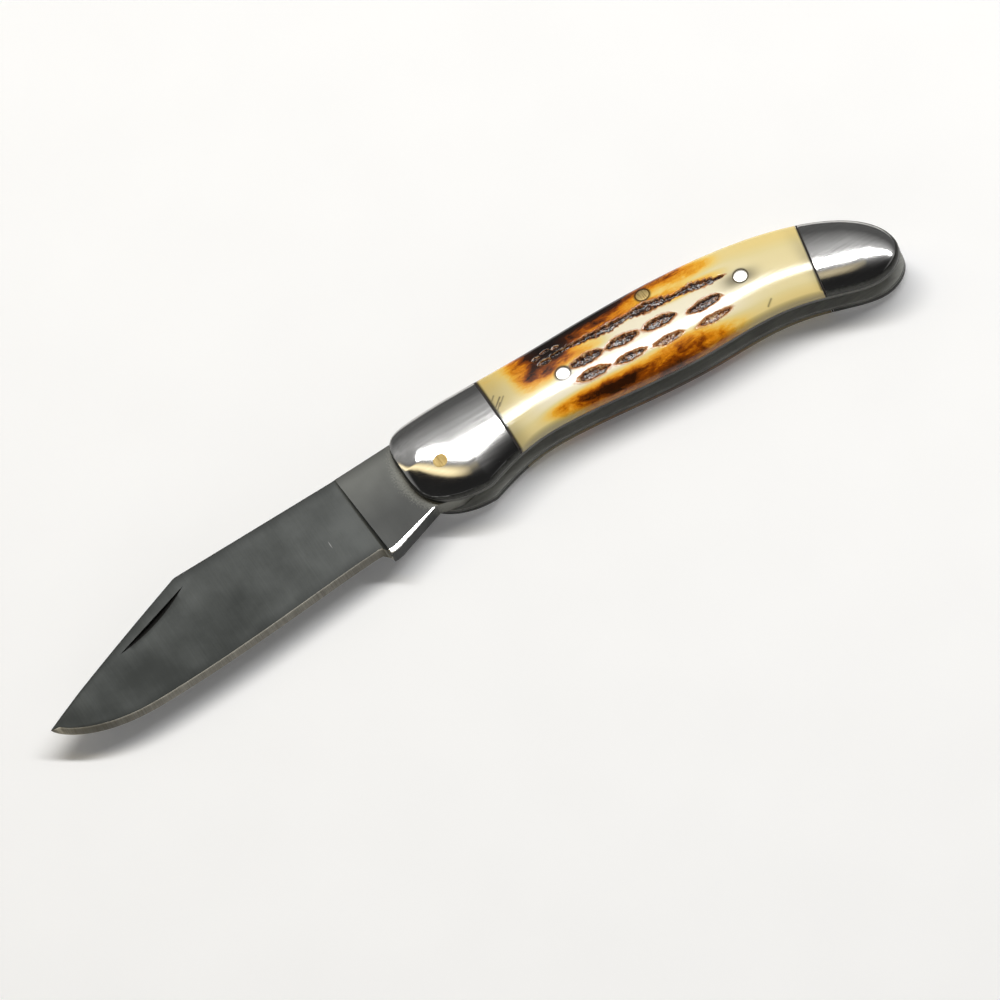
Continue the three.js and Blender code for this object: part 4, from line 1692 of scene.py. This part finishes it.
    def jigging_tree(self, material: Material) -> tuple[NodeTree, dict[str, str]]:
        """The tree that scoops the grooves out of a scale.

        Args:
            material: The bone.

        Returns:
            The tree, and its input sockets' identifiers by name.
        """
        tree, entry, sockets = new_group("jigging", {
            "Blank": "Geometry", "Grooves": "Object", "Seed": "Float", "Chatter": "Float"}, "Scale")
        spots = add(tree, "GeometryNodeObjectInfo", {"Object": entry.outputs["Grooves"]})
        here = add(tree, "GeometryNodeInputPosition")
        flat = add(tree, VECTOR_MATH, (here, (1, 1, 0)), operation="MULTIPLY")
        nearest = add(tree, "GeometryNodeSampleNearest", {
            "Geometry": spots.outputs["Geometry"], "Sample Position": flat})
        got = {}
        for name in ("turn", "half_length", "half_width", "depth", "ragged", "worn"):
            named = add(tree, "GeometryNodeInputNamedAttribute", {"Name": name}, data_type="FLOAT")
            got[name] = add(tree, SAMPLE, {
                "Geometry": spots.outputs["Geometry"], "Value": named, "Index": nearest},
                data_type="FLOAT")
        centre = add(tree, SAMPLE, {
            "Geometry": spots.outputs["Geometry"], "Value": here, "Index": nearest},
            data_type="FLOAT_VECTOR")
        offset = add(tree, VECTOR_MATH, (flat, centre), operation="SUBTRACT")
        back = add(tree, MATH, (got["turn"], -1.0), operation="MULTIPLY")
        local = add(tree, "ShaderNodeVectorRotate", {
            "Vector": offset, "Angle": back}, rotation_type="Z_AXIS")
        split = add(tree, SPLIT, (local,))
        parts = []
        for axis, name, power in ((0, "half_length", 2.0), (1, "half_width", 1.35)):
            ratio = add(tree, MATH, (split.outputs[axis], got[name]), operation="DIVIDE")
            size = add(tree, MATH, (ratio,), operation="ABSOLUTE")
            parts.append(add(tree, MATH, (size, power), operation="POWER"))
        oval = add(tree, MATH, parts, operation="ADD")
        # Torn edges about a millimetre long, and finer chatter of the cutter inside
        torn = add(tree, NOISE, {
            "Vector": here, "W": entry.outputs["Seed"], "Scale": 620.0, "Detail": 4.0,
            "Roughness": 0.62}, noise_dimensions="4D")
        shift = add(tree, MATH, (torn, -0.5), operation="ADD")
        ragged = add(tree, MATH, (shift, got["ragged"]), operation="MULTIPLY")
        torn_oval = add(tree, MATH, (ragged, 1.9, oval), operation="MULTIPLY_ADD")
        inside = add(tree, RANGE, (torn_oval, 1.02, 0.45), interpolation_type="SMOOTHSTEP")
        rough = add(tree, NOISE, {
            "Vector": here, "W": entry.outputs["Seed"], "Scale": 1500.0, "Detail": 3.0},
            noise_dimensions="4D")
        chatter = add(tree, MATH, (rough, entry.outputs["Chatter"], 0.6), operation="MULTIPLY_ADD")
        sink = add(tree, MATH, (inside, got["depth"]), operation="MULTIPLY")
        uneven = add(tree, MATH, (sink, chatter), operation="MULTIPLY")
        # Only the crown is carved: the sides and the underside keep their shape
        normal = add(tree, "GeometryNodeInputNormal")
        facing = add(tree, SPLIT, (normal,))
        upward = add(tree, RANGE, (facing.outputs[2], 0.15, 0.35))
        carved = add(tree, MATH, (uneven, upward), operation="MULTIPLY")
        down = add(tree, MATH, (carved, -1.0), operation="MULTIPLY")
        move = add(tree, VECTOR_MATH, {0: normal, "Scale": down}, operation="SCALE")
        tone = add(tree, RANGE, (torn_oval, 1.5, 0.5))
        left = add(tree, MATH, (1.0, got["worn"]), operation="SUBTRACT")
        faded = add(tree, MATH, (tone, left), operation="MULTIPLY")
        kept = add(tree, MATH, (faded, upward), operation="MULTIPLY")
        stored = add(tree, "GeometryNodeStoreNamedAttribute", {
            "Geometry": entry.outputs["Blank"], "Name": "groove", "Value": kept}, data_type="FLOAT",
            domain="POINT")
        moved = add(tree, "GeometryNodeSetPosition", {"Geometry": stored, "Offset": move})
        end_group(tree, moved, material)
        return tree, sockets

    def jigged(self, blank: Mesh, tree: NodeTree, sockets: dict[str, str],
               spots: Object, side: Side) -> Mesh:
        """Runs the jigging over a copy of the blank, and stains the result.

        Args:
            blank: The smooth scale.
            tree: The jigging tree.
            sockets: Identifiers of its inputs.
            spots: The groove points.
            side: Side that it is for, which decides its torn edges and its rim.

        Returns:
            The carved mesh, with its burn and painted shade as an attribute.
        """
        mark = side is Side.MARK
        mesh = grown(blank.copy(), tree, sockets, {
            "Grooves": spots, "Seed": self.seeds[0 if mark else 1], "Chatter": self.chatter})
        points = design_points(mesh)
        x = points[:, 0]
        share = np.clip(OUTLINE.share_of(x, points[:, 1]), -1, 1)
        clear = np.ones(len(x))
        for stain in self.stains:
            clear *= 1 - np.clip(stain.darkness(x, share), 0, 1)
        store(mesh, "burn", 1 - clear)
        # Painted shade darkens the belly's rim, and reaches further on the side that lies down
        edge, depth = self.mark_residue if mark else self.pile_residue
        dirt_and_shade = depth * np.clip((edge - share) / (1 + edge), 0, 1) ** 0.7
        for smudge in self.smudges:
            dirt_and_shade = np.maximum(dirt_and_shade, smudge.darkness(x, share))
        pins, (clear_of_pin, width, darkest) = Pins(), self.pin_residue
        for pin in pins.pins:
            if pin.slot != "polished_steel":
                ring = Grime(*pins.centre(pin), pin.radius + clear_of_pin, width, darkest)
                dirt_and_shade = np.maximum(dirt_and_shade, ring.darkness(x, points[:, 1]))
        store(mesh, "grime", np.clip(dirt_and_shade, 0, 1))
        smooth(mesh, 60)
        return mesh

    def build(self, finishes: Finishes) -> Object:
        """Builds and places every cover.

        Args:
            finishes: The materials.

        Returns:
            A helper object of the smooth mark-side cover, for fitting the pins' heads.
        """
        front, rear, blank = self.bolster(True), self.bolster(False), self.blank()
        tree, sockets = self.jigging_tree(finishes.bone)
        spots = self.groove_points()
        steel, fibre = (finishes.bolster, finishes.rim), (finishes.fibre,)
        for side in Side:
            jigged = self.jigged(blank, tree, sockets, spots, side)
            for node, ending, mesh, materials, slot in (
                    ("front_bolster", "cover", front, steel, "polished_steel"),
                    ("rear_bolster", "cover", rear, steel, "polished_steel"),
                    ("front_spacer", "sheet", self.spacer(True), fibre, "fibre"),
                    ("rear_spacer", "sheet", self.spacer(False), fibre, "fibre")):
                name = f"{side.word}_{node}_{ending}"
                place(name, handed(mesh, name, side), materials, "handle", slot,
                      f"{side.word}_{node}")
            name = f"{side.word}_bone_scale"
            place(name, handed(jigged, name, side), (finishes.bone,), "handle", "bone",
                  f"{side.word}_scale")
        discard(spots)
        joined = bmesh.new()
        for mesh in (front, rear, blank):
            joined.from_mesh(mesh)
        cover = bpy.data.meshes.new("smooth_cover")
        joined.to_mesh(cover)
        joined.free()
        return linked("smooth_cover", cover)


# ---------------------------------------------------------------------------- pins


@dataclass(frozen=True)
class Pin:
    """One pin or rivet: where it stands, how thick it is and what it is made of.

    Its height is above the handle's middle or, if it is in the spring, the spring's.
    """

    name: str
    x: float
    y: float
    radius: float
    finish: str
    slot: str
    through: bool
    sunk: float = 0.0
    in_spring: bool = False

    def nodes(self, side: Side) -> tuple[str, str]:
        """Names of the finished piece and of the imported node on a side.

        Args:
            side: The side.

        Returns:
            The piece's name and the node's.
        """
        if self.through:
            return f"{self.name}_wire", self.name
        return f"{side.word}_{self.name}_wire", f"{side.word}_{self.name}"


@dataclass
class Pins:
    """Every pin and rivet, each ground to the curve of the cover it comes out of."""

    proud: float = 0.04
    ring_points: int = 56
    pins: tuple[Pin, ...] = (
        Pin("pivot_pin", 0.0, 0.0, 1.6, "brass", "brass", True),
        Pin("spring_pin", 52.3, 0.0, 1.4, "brass", "brass", True, in_spring=True),
        Pin("rear_spring_pin", 90.8, 0.0, 1.25, "bolster", "polished_steel", True, 0.3, True),
        Pin("front_scale_pin", 30.2, -0.4, 1.45, "nickel_silver", "nickel_silver", False),
        Pin("rear_scale_pin", 70.7, 0.5, 1.45, "nickel_silver", "nickel_silver", False),
        Pin("front_rivet", 10.2, 0.2, 1.0, "bolster", "polished_steel", False, 1.2),
        Pin("rear_rivet", 93.6, -3.7, 1.0, "bolster", "polished_steel", False, 1.2),
    )

    def centre(self, pin: Pin) -> Array:
        """Where a pin stands, in millimetres round the pivot.

        Args:
            pin: The pin.

        Returns:
            Its place in the side view.
        """
        if pin.x == 0:
            return np.zeros(2)
        if pin.in_spring:
            middle = (OUTLINE.spine(pin.x) + Backspring().lower(pin.x)) / 2
        else:
            middle = OUTLINE.middle(pin.x)
        return np.array([pin.x, float(middle) + pin.y])

    def tree(self) -> tuple[NodeTree, dict[str, str]]:
        """The tree that makes a pin whose head follows a cover.

        Returns:
            The tree, and its input sockets' identifiers by name.
        """
        tree, entry, sockets = new_group("flush_pin", {
            "Base": "Geometry", "Cover": "Object", "Centre": "Vector", "Radius": "Float",
            "Proud": "Float", "Sunk": "Float", "Foot": "Float", "Middle": "Float",
            "Through": "Bool", "Pile": "Bool", "Metal": "Material"}, "Pin")
        blank = add(tree, "GeometryNodeMeshCylinder", {
            "Vertices": self.ring_points, "Side Segments": 1, "Fill Segments": 8, "Radius": 1.0,
            "Depth": 2.0}, fill_type="TRIANGLE_FAN")
        here = add(tree, "GeometryNodeInputPosition")
        flat = add(tree, VECTOR_MATH, (here, (1, 1, 0)), operation="MULTIPLY")
        reach = add(tree, VECTOR_MATH, (flat,), operation="LENGTH")
        # Rings crowd towards the rim, where the head is rounded over
        angle = add(tree, MATH, (reach, math.pi / 2), operation="MULTIPLY")
        spread = add(tree, MATH, (angle,), operation="SINE")
        safe = add(tree, MATH, (reach, 0.0001), operation="MAXIMUM")
        ratio = add(tree, MATH, (spread, safe), operation="DIVIDE")
        size = add(tree, MATH, (ratio, entry.outputs["Radius"]), operation="MULTIPLY")
        scaled = add(tree, VECTOR_MATH, {0: flat, "Scale": size}, operation="SCALE")
        spot_plan = add(tree, VECTOR_MATH, (scaled, entry.outputs["Centre"]), operation="ADD")
        # A ray from 30 mm up comes down on the cover's skin
        above = add(tree, VECTOR_MATH, (spot_plan, (0, 0, 0.03)), operation="ADD")
        cover = add(tree, "GeometryNodeObjectInfo", {"Object": entry.outputs["Cover"]})
        hit = add(tree, "GeometryNodeRaycast", {
            "Target Geometry": cover.outputs["Geometry"], "Source Position": above,
            "Ray Direction": (0, 0, -1), "Ray Length": 0.1})
        found = add(tree, SPLIT, (hit.outputs["Hit Position"],))
        # The head stands proud of the skin but for its rim, which is peened just under it
        power = add(tree, MATH, (spread, 9.0), operation="POWER")
        crown = add(tree, MATH, (power, -1.6, 1.0), operation="MULTIPLY_ADD")
        skin = add(tree, MATH, (found.outputs[2], entry.outputs["Sunk"]), operation="SUBTRACT")
        head = add(tree, MATH, (crown, entry.outputs["Proud"], skin), operation="MULTIPLY_ADD")
        twice = add(tree, MATH, (entry.outputs["Middle"], 2.0), operation="MULTIPLY")
        other = add(tree, MATH, (twice, head), operation="SUBTRACT")
        foot = add(tree, SWITCH, {
            "Switch": entry.outputs["Through"], "False": entry.outputs["Foot"], "True": other},
            input_type="FLOAT")
        level = add(tree, SPLIT, (here,))
        upper = add(tree, "FunctionNodeCompare", (level.outputs[2], 0.0), data_type="FLOAT",
                    operation="GREATER_THAN")
        height = add(tree, SWITCH, {
            "Switch": upper, "False": foot, "True": head}, input_type="FLOAT")
        below = add(tree, MATH, (twice, height), operation="SUBTRACT")
        final = add(tree, SWITCH, {
            "Switch": entry.outputs["Pile"], "False": height, "True": below}, input_type="FLOAT")
        plan = add(tree, SPLIT, (spot_plan,))
        spot = add(tree, "ShaderNodeCombineXYZ", (plan.outputs[0], plan.outputs[1], final))
        moved = add(tree, "GeometryNodeSetPosition", {"Geometry": blank, "Position": spot})
        outward = add(tree, "GeometryNodeFlipFaces", {
            "Mesh": moved, "Selection": entry.outputs["Pile"]})
        end_group(tree, outward, entry.outputs["Metal"])
        return tree, sockets

    def build(self, finishes: Finishes, cover: Object) -> None:
        """Makes and places each pin.

        Args:
            finishes: The materials.
            cover: The smooth mark-side cover, which the heads follow.
        """
        tree, sockets = self.tree()
        for pin in self.pins:
            for side in (Side.MARK,) if pin.through else Side:
                centre = self.centre(pin)
                name, node = pin.nodes(side)
                metal = getattr(finishes, pin.finish)
                mesh = grown(bpy.data.meshes.new("pin_base"), tree, sockets, {
                    "Cover": cover, "Centre": (*(centre * MM + PIVOT[:2]), 0.0),
                    "Radius": pin.radius * MM, "Proud": self.proud * MM, "Sunk": pin.sunk * MM,
                    "Foot": float(PIVOT[2] + STACK.slot_half * MM), "Middle": float(PIVOT[2]),
                    "Through": pin.through, "Pile": side is Side.PILE, "Metal": metal})
                mesh.name = name
                smooth(mesh, 50)
                place(name, mesh, (metal,), "handle", pin.slot, node)


# ---------------------------------------------------------------------------- studio


@dataclass(frozen=True)
class PhotoCamera:
    """A long-lens view like the photograph's, looking down on the knife from its belly side."""

    above: float = 31.0
    aside: float = 5.0
    roll: float = 31.3
    width: float = 0.2
    pivot_right: float = 11.94
    pivot_up: float = -7.94
    pin_level: float = 5.6
    distance: float = 1.4

    def axes(self) -> tuple[Vector, Vector, Vector]:
        """The picture's right, its up and the way back to the camera.

        Returns:
            Three unit vectors.
        """
        t, yaw, roll = (math.radians(a) for a in (self.above, self.aside, self.roll))
        back = Vector((-math.sin(yaw), -math.sin(t) * math.cos(yaw), math.cos(t) * math.cos(yaw)))
        level = Vector((1, 0, 0)) - back * back.x
        level.normalize()
        rise = back.cross(level)
        right = math.cos(roll) * level - math.sin(roll) * rise
        up = math.sin(roll) * level + math.cos(roll) * rise
        return right, up, back

    def build(self) -> None:
        """Makes the scene's camera."""
        right, up, back = self.axes()
        data = bpy.data.cameras.new("photo_camera")
        data.type = "ORTHO"
        data.ortho_scale = self.width
        data.clip_start, data.clip_end = 0.01, 20
        camera = linked("photo_camera", data)
        pin = Vector(PIVOT) + Vector((0, 0, self.pin_level * MM))
        target = pin + right * (self.pivot_right * MM) + up * (self.pivot_up * MM)
        turn = Matrix((right, up, back)).transposed()
        camera.matrix_world = Matrix.Translation(target + back * self.distance) @ turn.to_4x4()
        bpy.context.scene.camera = camera
        log.info("camera at %s", [round(v, 4) for v in camera.location])


@dataclass(frozen=True)
class Studio:
    """A white table under a cloth tent, with one long soft box and a warm patch of cloth."""

    axis: tuple[float, float] = (0.808, -0.590)
    tent_radius: float = 1.6
    table_radius: float = 1.62
    box_distance: float = 1.2
    box_angle: float = 66.1
    box_spread: float = 4.9
    box_length: float = 2.3
    box_shift: float = 0.47
    box_radiance: float = 24.5
    cloth: tuple[tuple[float, float], ...] = (
        # angle about the axis in degrees, and how bright the cloth is there
        (0, 0.3), (5, 0.16), (38, 0.145), (42, 0.19), (48, 0.295), (54, 0.44), (58, 0.6),
        (61, 0.45), (68, 0.4), (71, 0.22), (75, 0.14), (80, 0.07), (85, 0.035), (92, 0.022),
        (140, 0.03), (149, 0.5), (180, 0.9))
    warm: tuple[tuple[float, str], ...] = (
        (73, "#000000"), (76.5, "#d9c695"), (79.5, "#ffedbe"), (84, "#e6d3a4"), (87, "#000000"))
    warm_strength: float = 2.2
    warm_reach: tuple[float, float] = (-0.02, -0.39)
    end_reach: tuple[float, float] = (0.66, 0.9)
    end_level: float = 0.3
    floor_lift: float = 0.06

    def _soft_box(self) -> None:
        """The long area lamp above the spine's side, aimed at the knife."""
        along = Vector((*self.axis, 0)).normalized()
        away = Vector((-along.y, along.x, 0))
        height = math.radians(self.box_angle)
        direction = away * math.cos(height) + Vector((0, 0, 1)) * math.sin(height)
        data = bpy.data.lights.new("soft_box", "AREA")
        data.shape = "RECTANGLE"
        data.size = self.box_length
        data.size_y = 2 * self.box_distance * math.tan(math.radians(self.box_spread / 2))
        data.energy = math.pi * data.size * data.size_y * self.box_radiance
        lamp = linked("soft_box", data)
        facing = Matrix((along, direction.cross(along), direction)).transposed().to_4x4()
        # It ends sooner over the blade, so that the bolster's nose mirrors only cloth
        centre = direction * self.box_distance + along * self.box_shift
        lamp.matrix_world = Matrix.Translation(centre) @ facing
        lamp.visible_camera = False

    def _tent(self) -> None:
        """The half-round cloth tent, bright round the soft box and near black by the camera."""
        material, tree, shader = begin("tent_cloth")
        tree.nodes.remove(shader)
        output = next(node for node in tree.nodes if node.type == "OUTPUT_MATERIAL")
        where = add(tree, COORDINATES).outputs["Object"]
        along = add(tree, VECTOR_MATH, (where, (*self.axis, 0)), operation="DOT_PRODUCT")
        across = add(tree, VECTOR_MATH, (where, (-self.axis[1], self.axis[0], 0)),
                     operation="DOT_PRODUCT")
        split = add(tree, SPLIT, (where,))
        angle = add(tree, MATH, (split.outputs[2], across), operation="ARCTAN2")
        share = add(tree, MATH, (angle, math.pi), operation="DIVIDE")
        ramp = add(tree, RAMP, (share,))
        set_ramp(ramp, [(degrees / 180, level) for degrees, level in self.cloth])
        patch = add(tree, RAMP, (share,))
        set_ramp(patch, [(degrees / 180, colour) for degrees, colour in self.warm])
        side = add(tree, RANGE, (along, self.warm_reach[0], self.warm_reach[1], 0.0,
                                 self.warm_strength), interpolation_type="SMOOTHSTEP")
        # The tent's two ends are paler cloth, for whoever looks along the knife
        off = add(tree, MATH, (along,), operation="ABSOLUTE")
        begin_at, end_at = (reach * self.tent_radius for reach in self.end_reach)
        ends = add(tree, RANGE, (off, begin_at, end_at, 0.0, self.end_level),
                   interpolation_type="SMOOTHSTEP")
        cloth = add(tree, MATH, (ramp, ends), operation="MAXIMUM")
        glowing = add(tree, VECTOR_MATH, (patch, side, cloth), operation="MULTIPLY_ADD")
        glow = add(tree, "ShaderNodeEmission", {"Color": glowing, "Strength": 1.0})
        feed(output, {"Surface": glow})
        mesh = bpy.data.meshes.new("tent")
        work = bmesh.new()
        bmesh.ops.create_uvsphere(work, u_segments=96, v_segments=96, radius=self.tent_radius)
        bmesh.ops.bisect_plane(work, geom=work.verts[:] + work.edges[:] + work.faces[:],
                               plane_co=(0, 0, -0.002), plane_no=(0, 0, 1), clear_inner=True)
        work.to_mesh(mesh)
        work.free()
        mesh.materials.append(material)
        tent = linked("tent", mesh)
        tent.visible_camera = False

    def _seen(self, tree: NodeTree) -> Node:
        """Whether a ray comes straight from the camera, or by way of a mirror or glass.

        Args:
            tree: The tree of a material or of the world.

        Returns:
            One where it does, else none.
        """
        path = add(tree, "ShaderNodeLightPath")
        seen = path.outputs["Is Camera Ray"]
        for name in ("Is Glossy Ray", "Is Transmission Ray"):
            seen = add(tree, MATH, (seen, path.outputs[name]), operation="MAXIMUM")
        return seen

    def _floor(self) -> None:
        """The white table top."""
        material, tree, shader = begin("matt_white_laminate")
        where = add(tree, COORDINATES).outputs["Object"]
        speck = add(tree, NOISE, {"Vector": where, "Scale": 40.0})
        tone = add(tree, RAMP, (speck,))
        set_ramp(tone, [(0.3, "#f9f9f9"), (0.7, "#fbfbfb")])
        # The backdrop is whiter to the eye and in a mirror than the light on it makes it
        lift = add(tree, MATH, (self._seen(tree), self.floor_lift), operation="MULTIPLY")
        feed(shader, {
            "Base Color": tone, "Roughness": 0.9, "Specular IOR Level": 0.1,
            "Emission Color": (1, 1, 1, 1), "Emission Strength": lift})
        angle = np.linspace(0, 2 * math.pi, 96, endpoint=False)
        mesh = bpy.data.meshes.new("table_top")
        points = [(self.table_radius * math.cos(a), self.table_radius * math.sin(a), 0.0)
                  for a in angle]
        mesh.from_pydata(points, [], [list(range(len(points)))])
        mesh.materials.append(material)
        linked("table_top", mesh)

    def _world(self) -> None:
        """White for the camera and for what mirrors it, dark for everything else."""
        world = bpy.data.worlds.new("studio_world")
        world.use_nodes = True
        tree = world.node_tree
        tree.nodes.clear()
        dim = add(tree, "ShaderNodeBackground", {"Color": (1, 1, 1, 1), "Strength": 0.2})
        white = add(tree, "ShaderNodeBackground", {"Color": (1, 1, 1, 1), "Strength": 1.0})
        mix = add(tree, "ShaderNodeMixShader", (self._seen(tree), dim, white))
        add(tree, "ShaderNodeOutputWorld", {"Surface": mix})
        bpy.context.scene.world = world

    def build(self) -> None:
        """Sets up the table, the tent, the lamps and the world."""
        bpy.context.scene.view_settings.view_transform = "Standard"
        self._world()
        self._floor()
        self._tent()
        self._soft_box()
        log.info("studio is set up")


# ---------------------------------------------------------------------------- assembly


def main() -> None:
    """Builds the knife, the camera and the studio."""
    logging.basicConfig(level=logging.INFO, format="%(name)s: %(message)s")
    finishes = Finishes()
    PhotoCamera().build()
    Studio().build()
    Blade().build(finishes)
    Backspring().build(finishes)
    Liners().build(finishes)
    cover = Covers().build(finishes)
    Pins().build(finishes, cover)
    discard(cover)


if __name__ == "__main__":
    main()
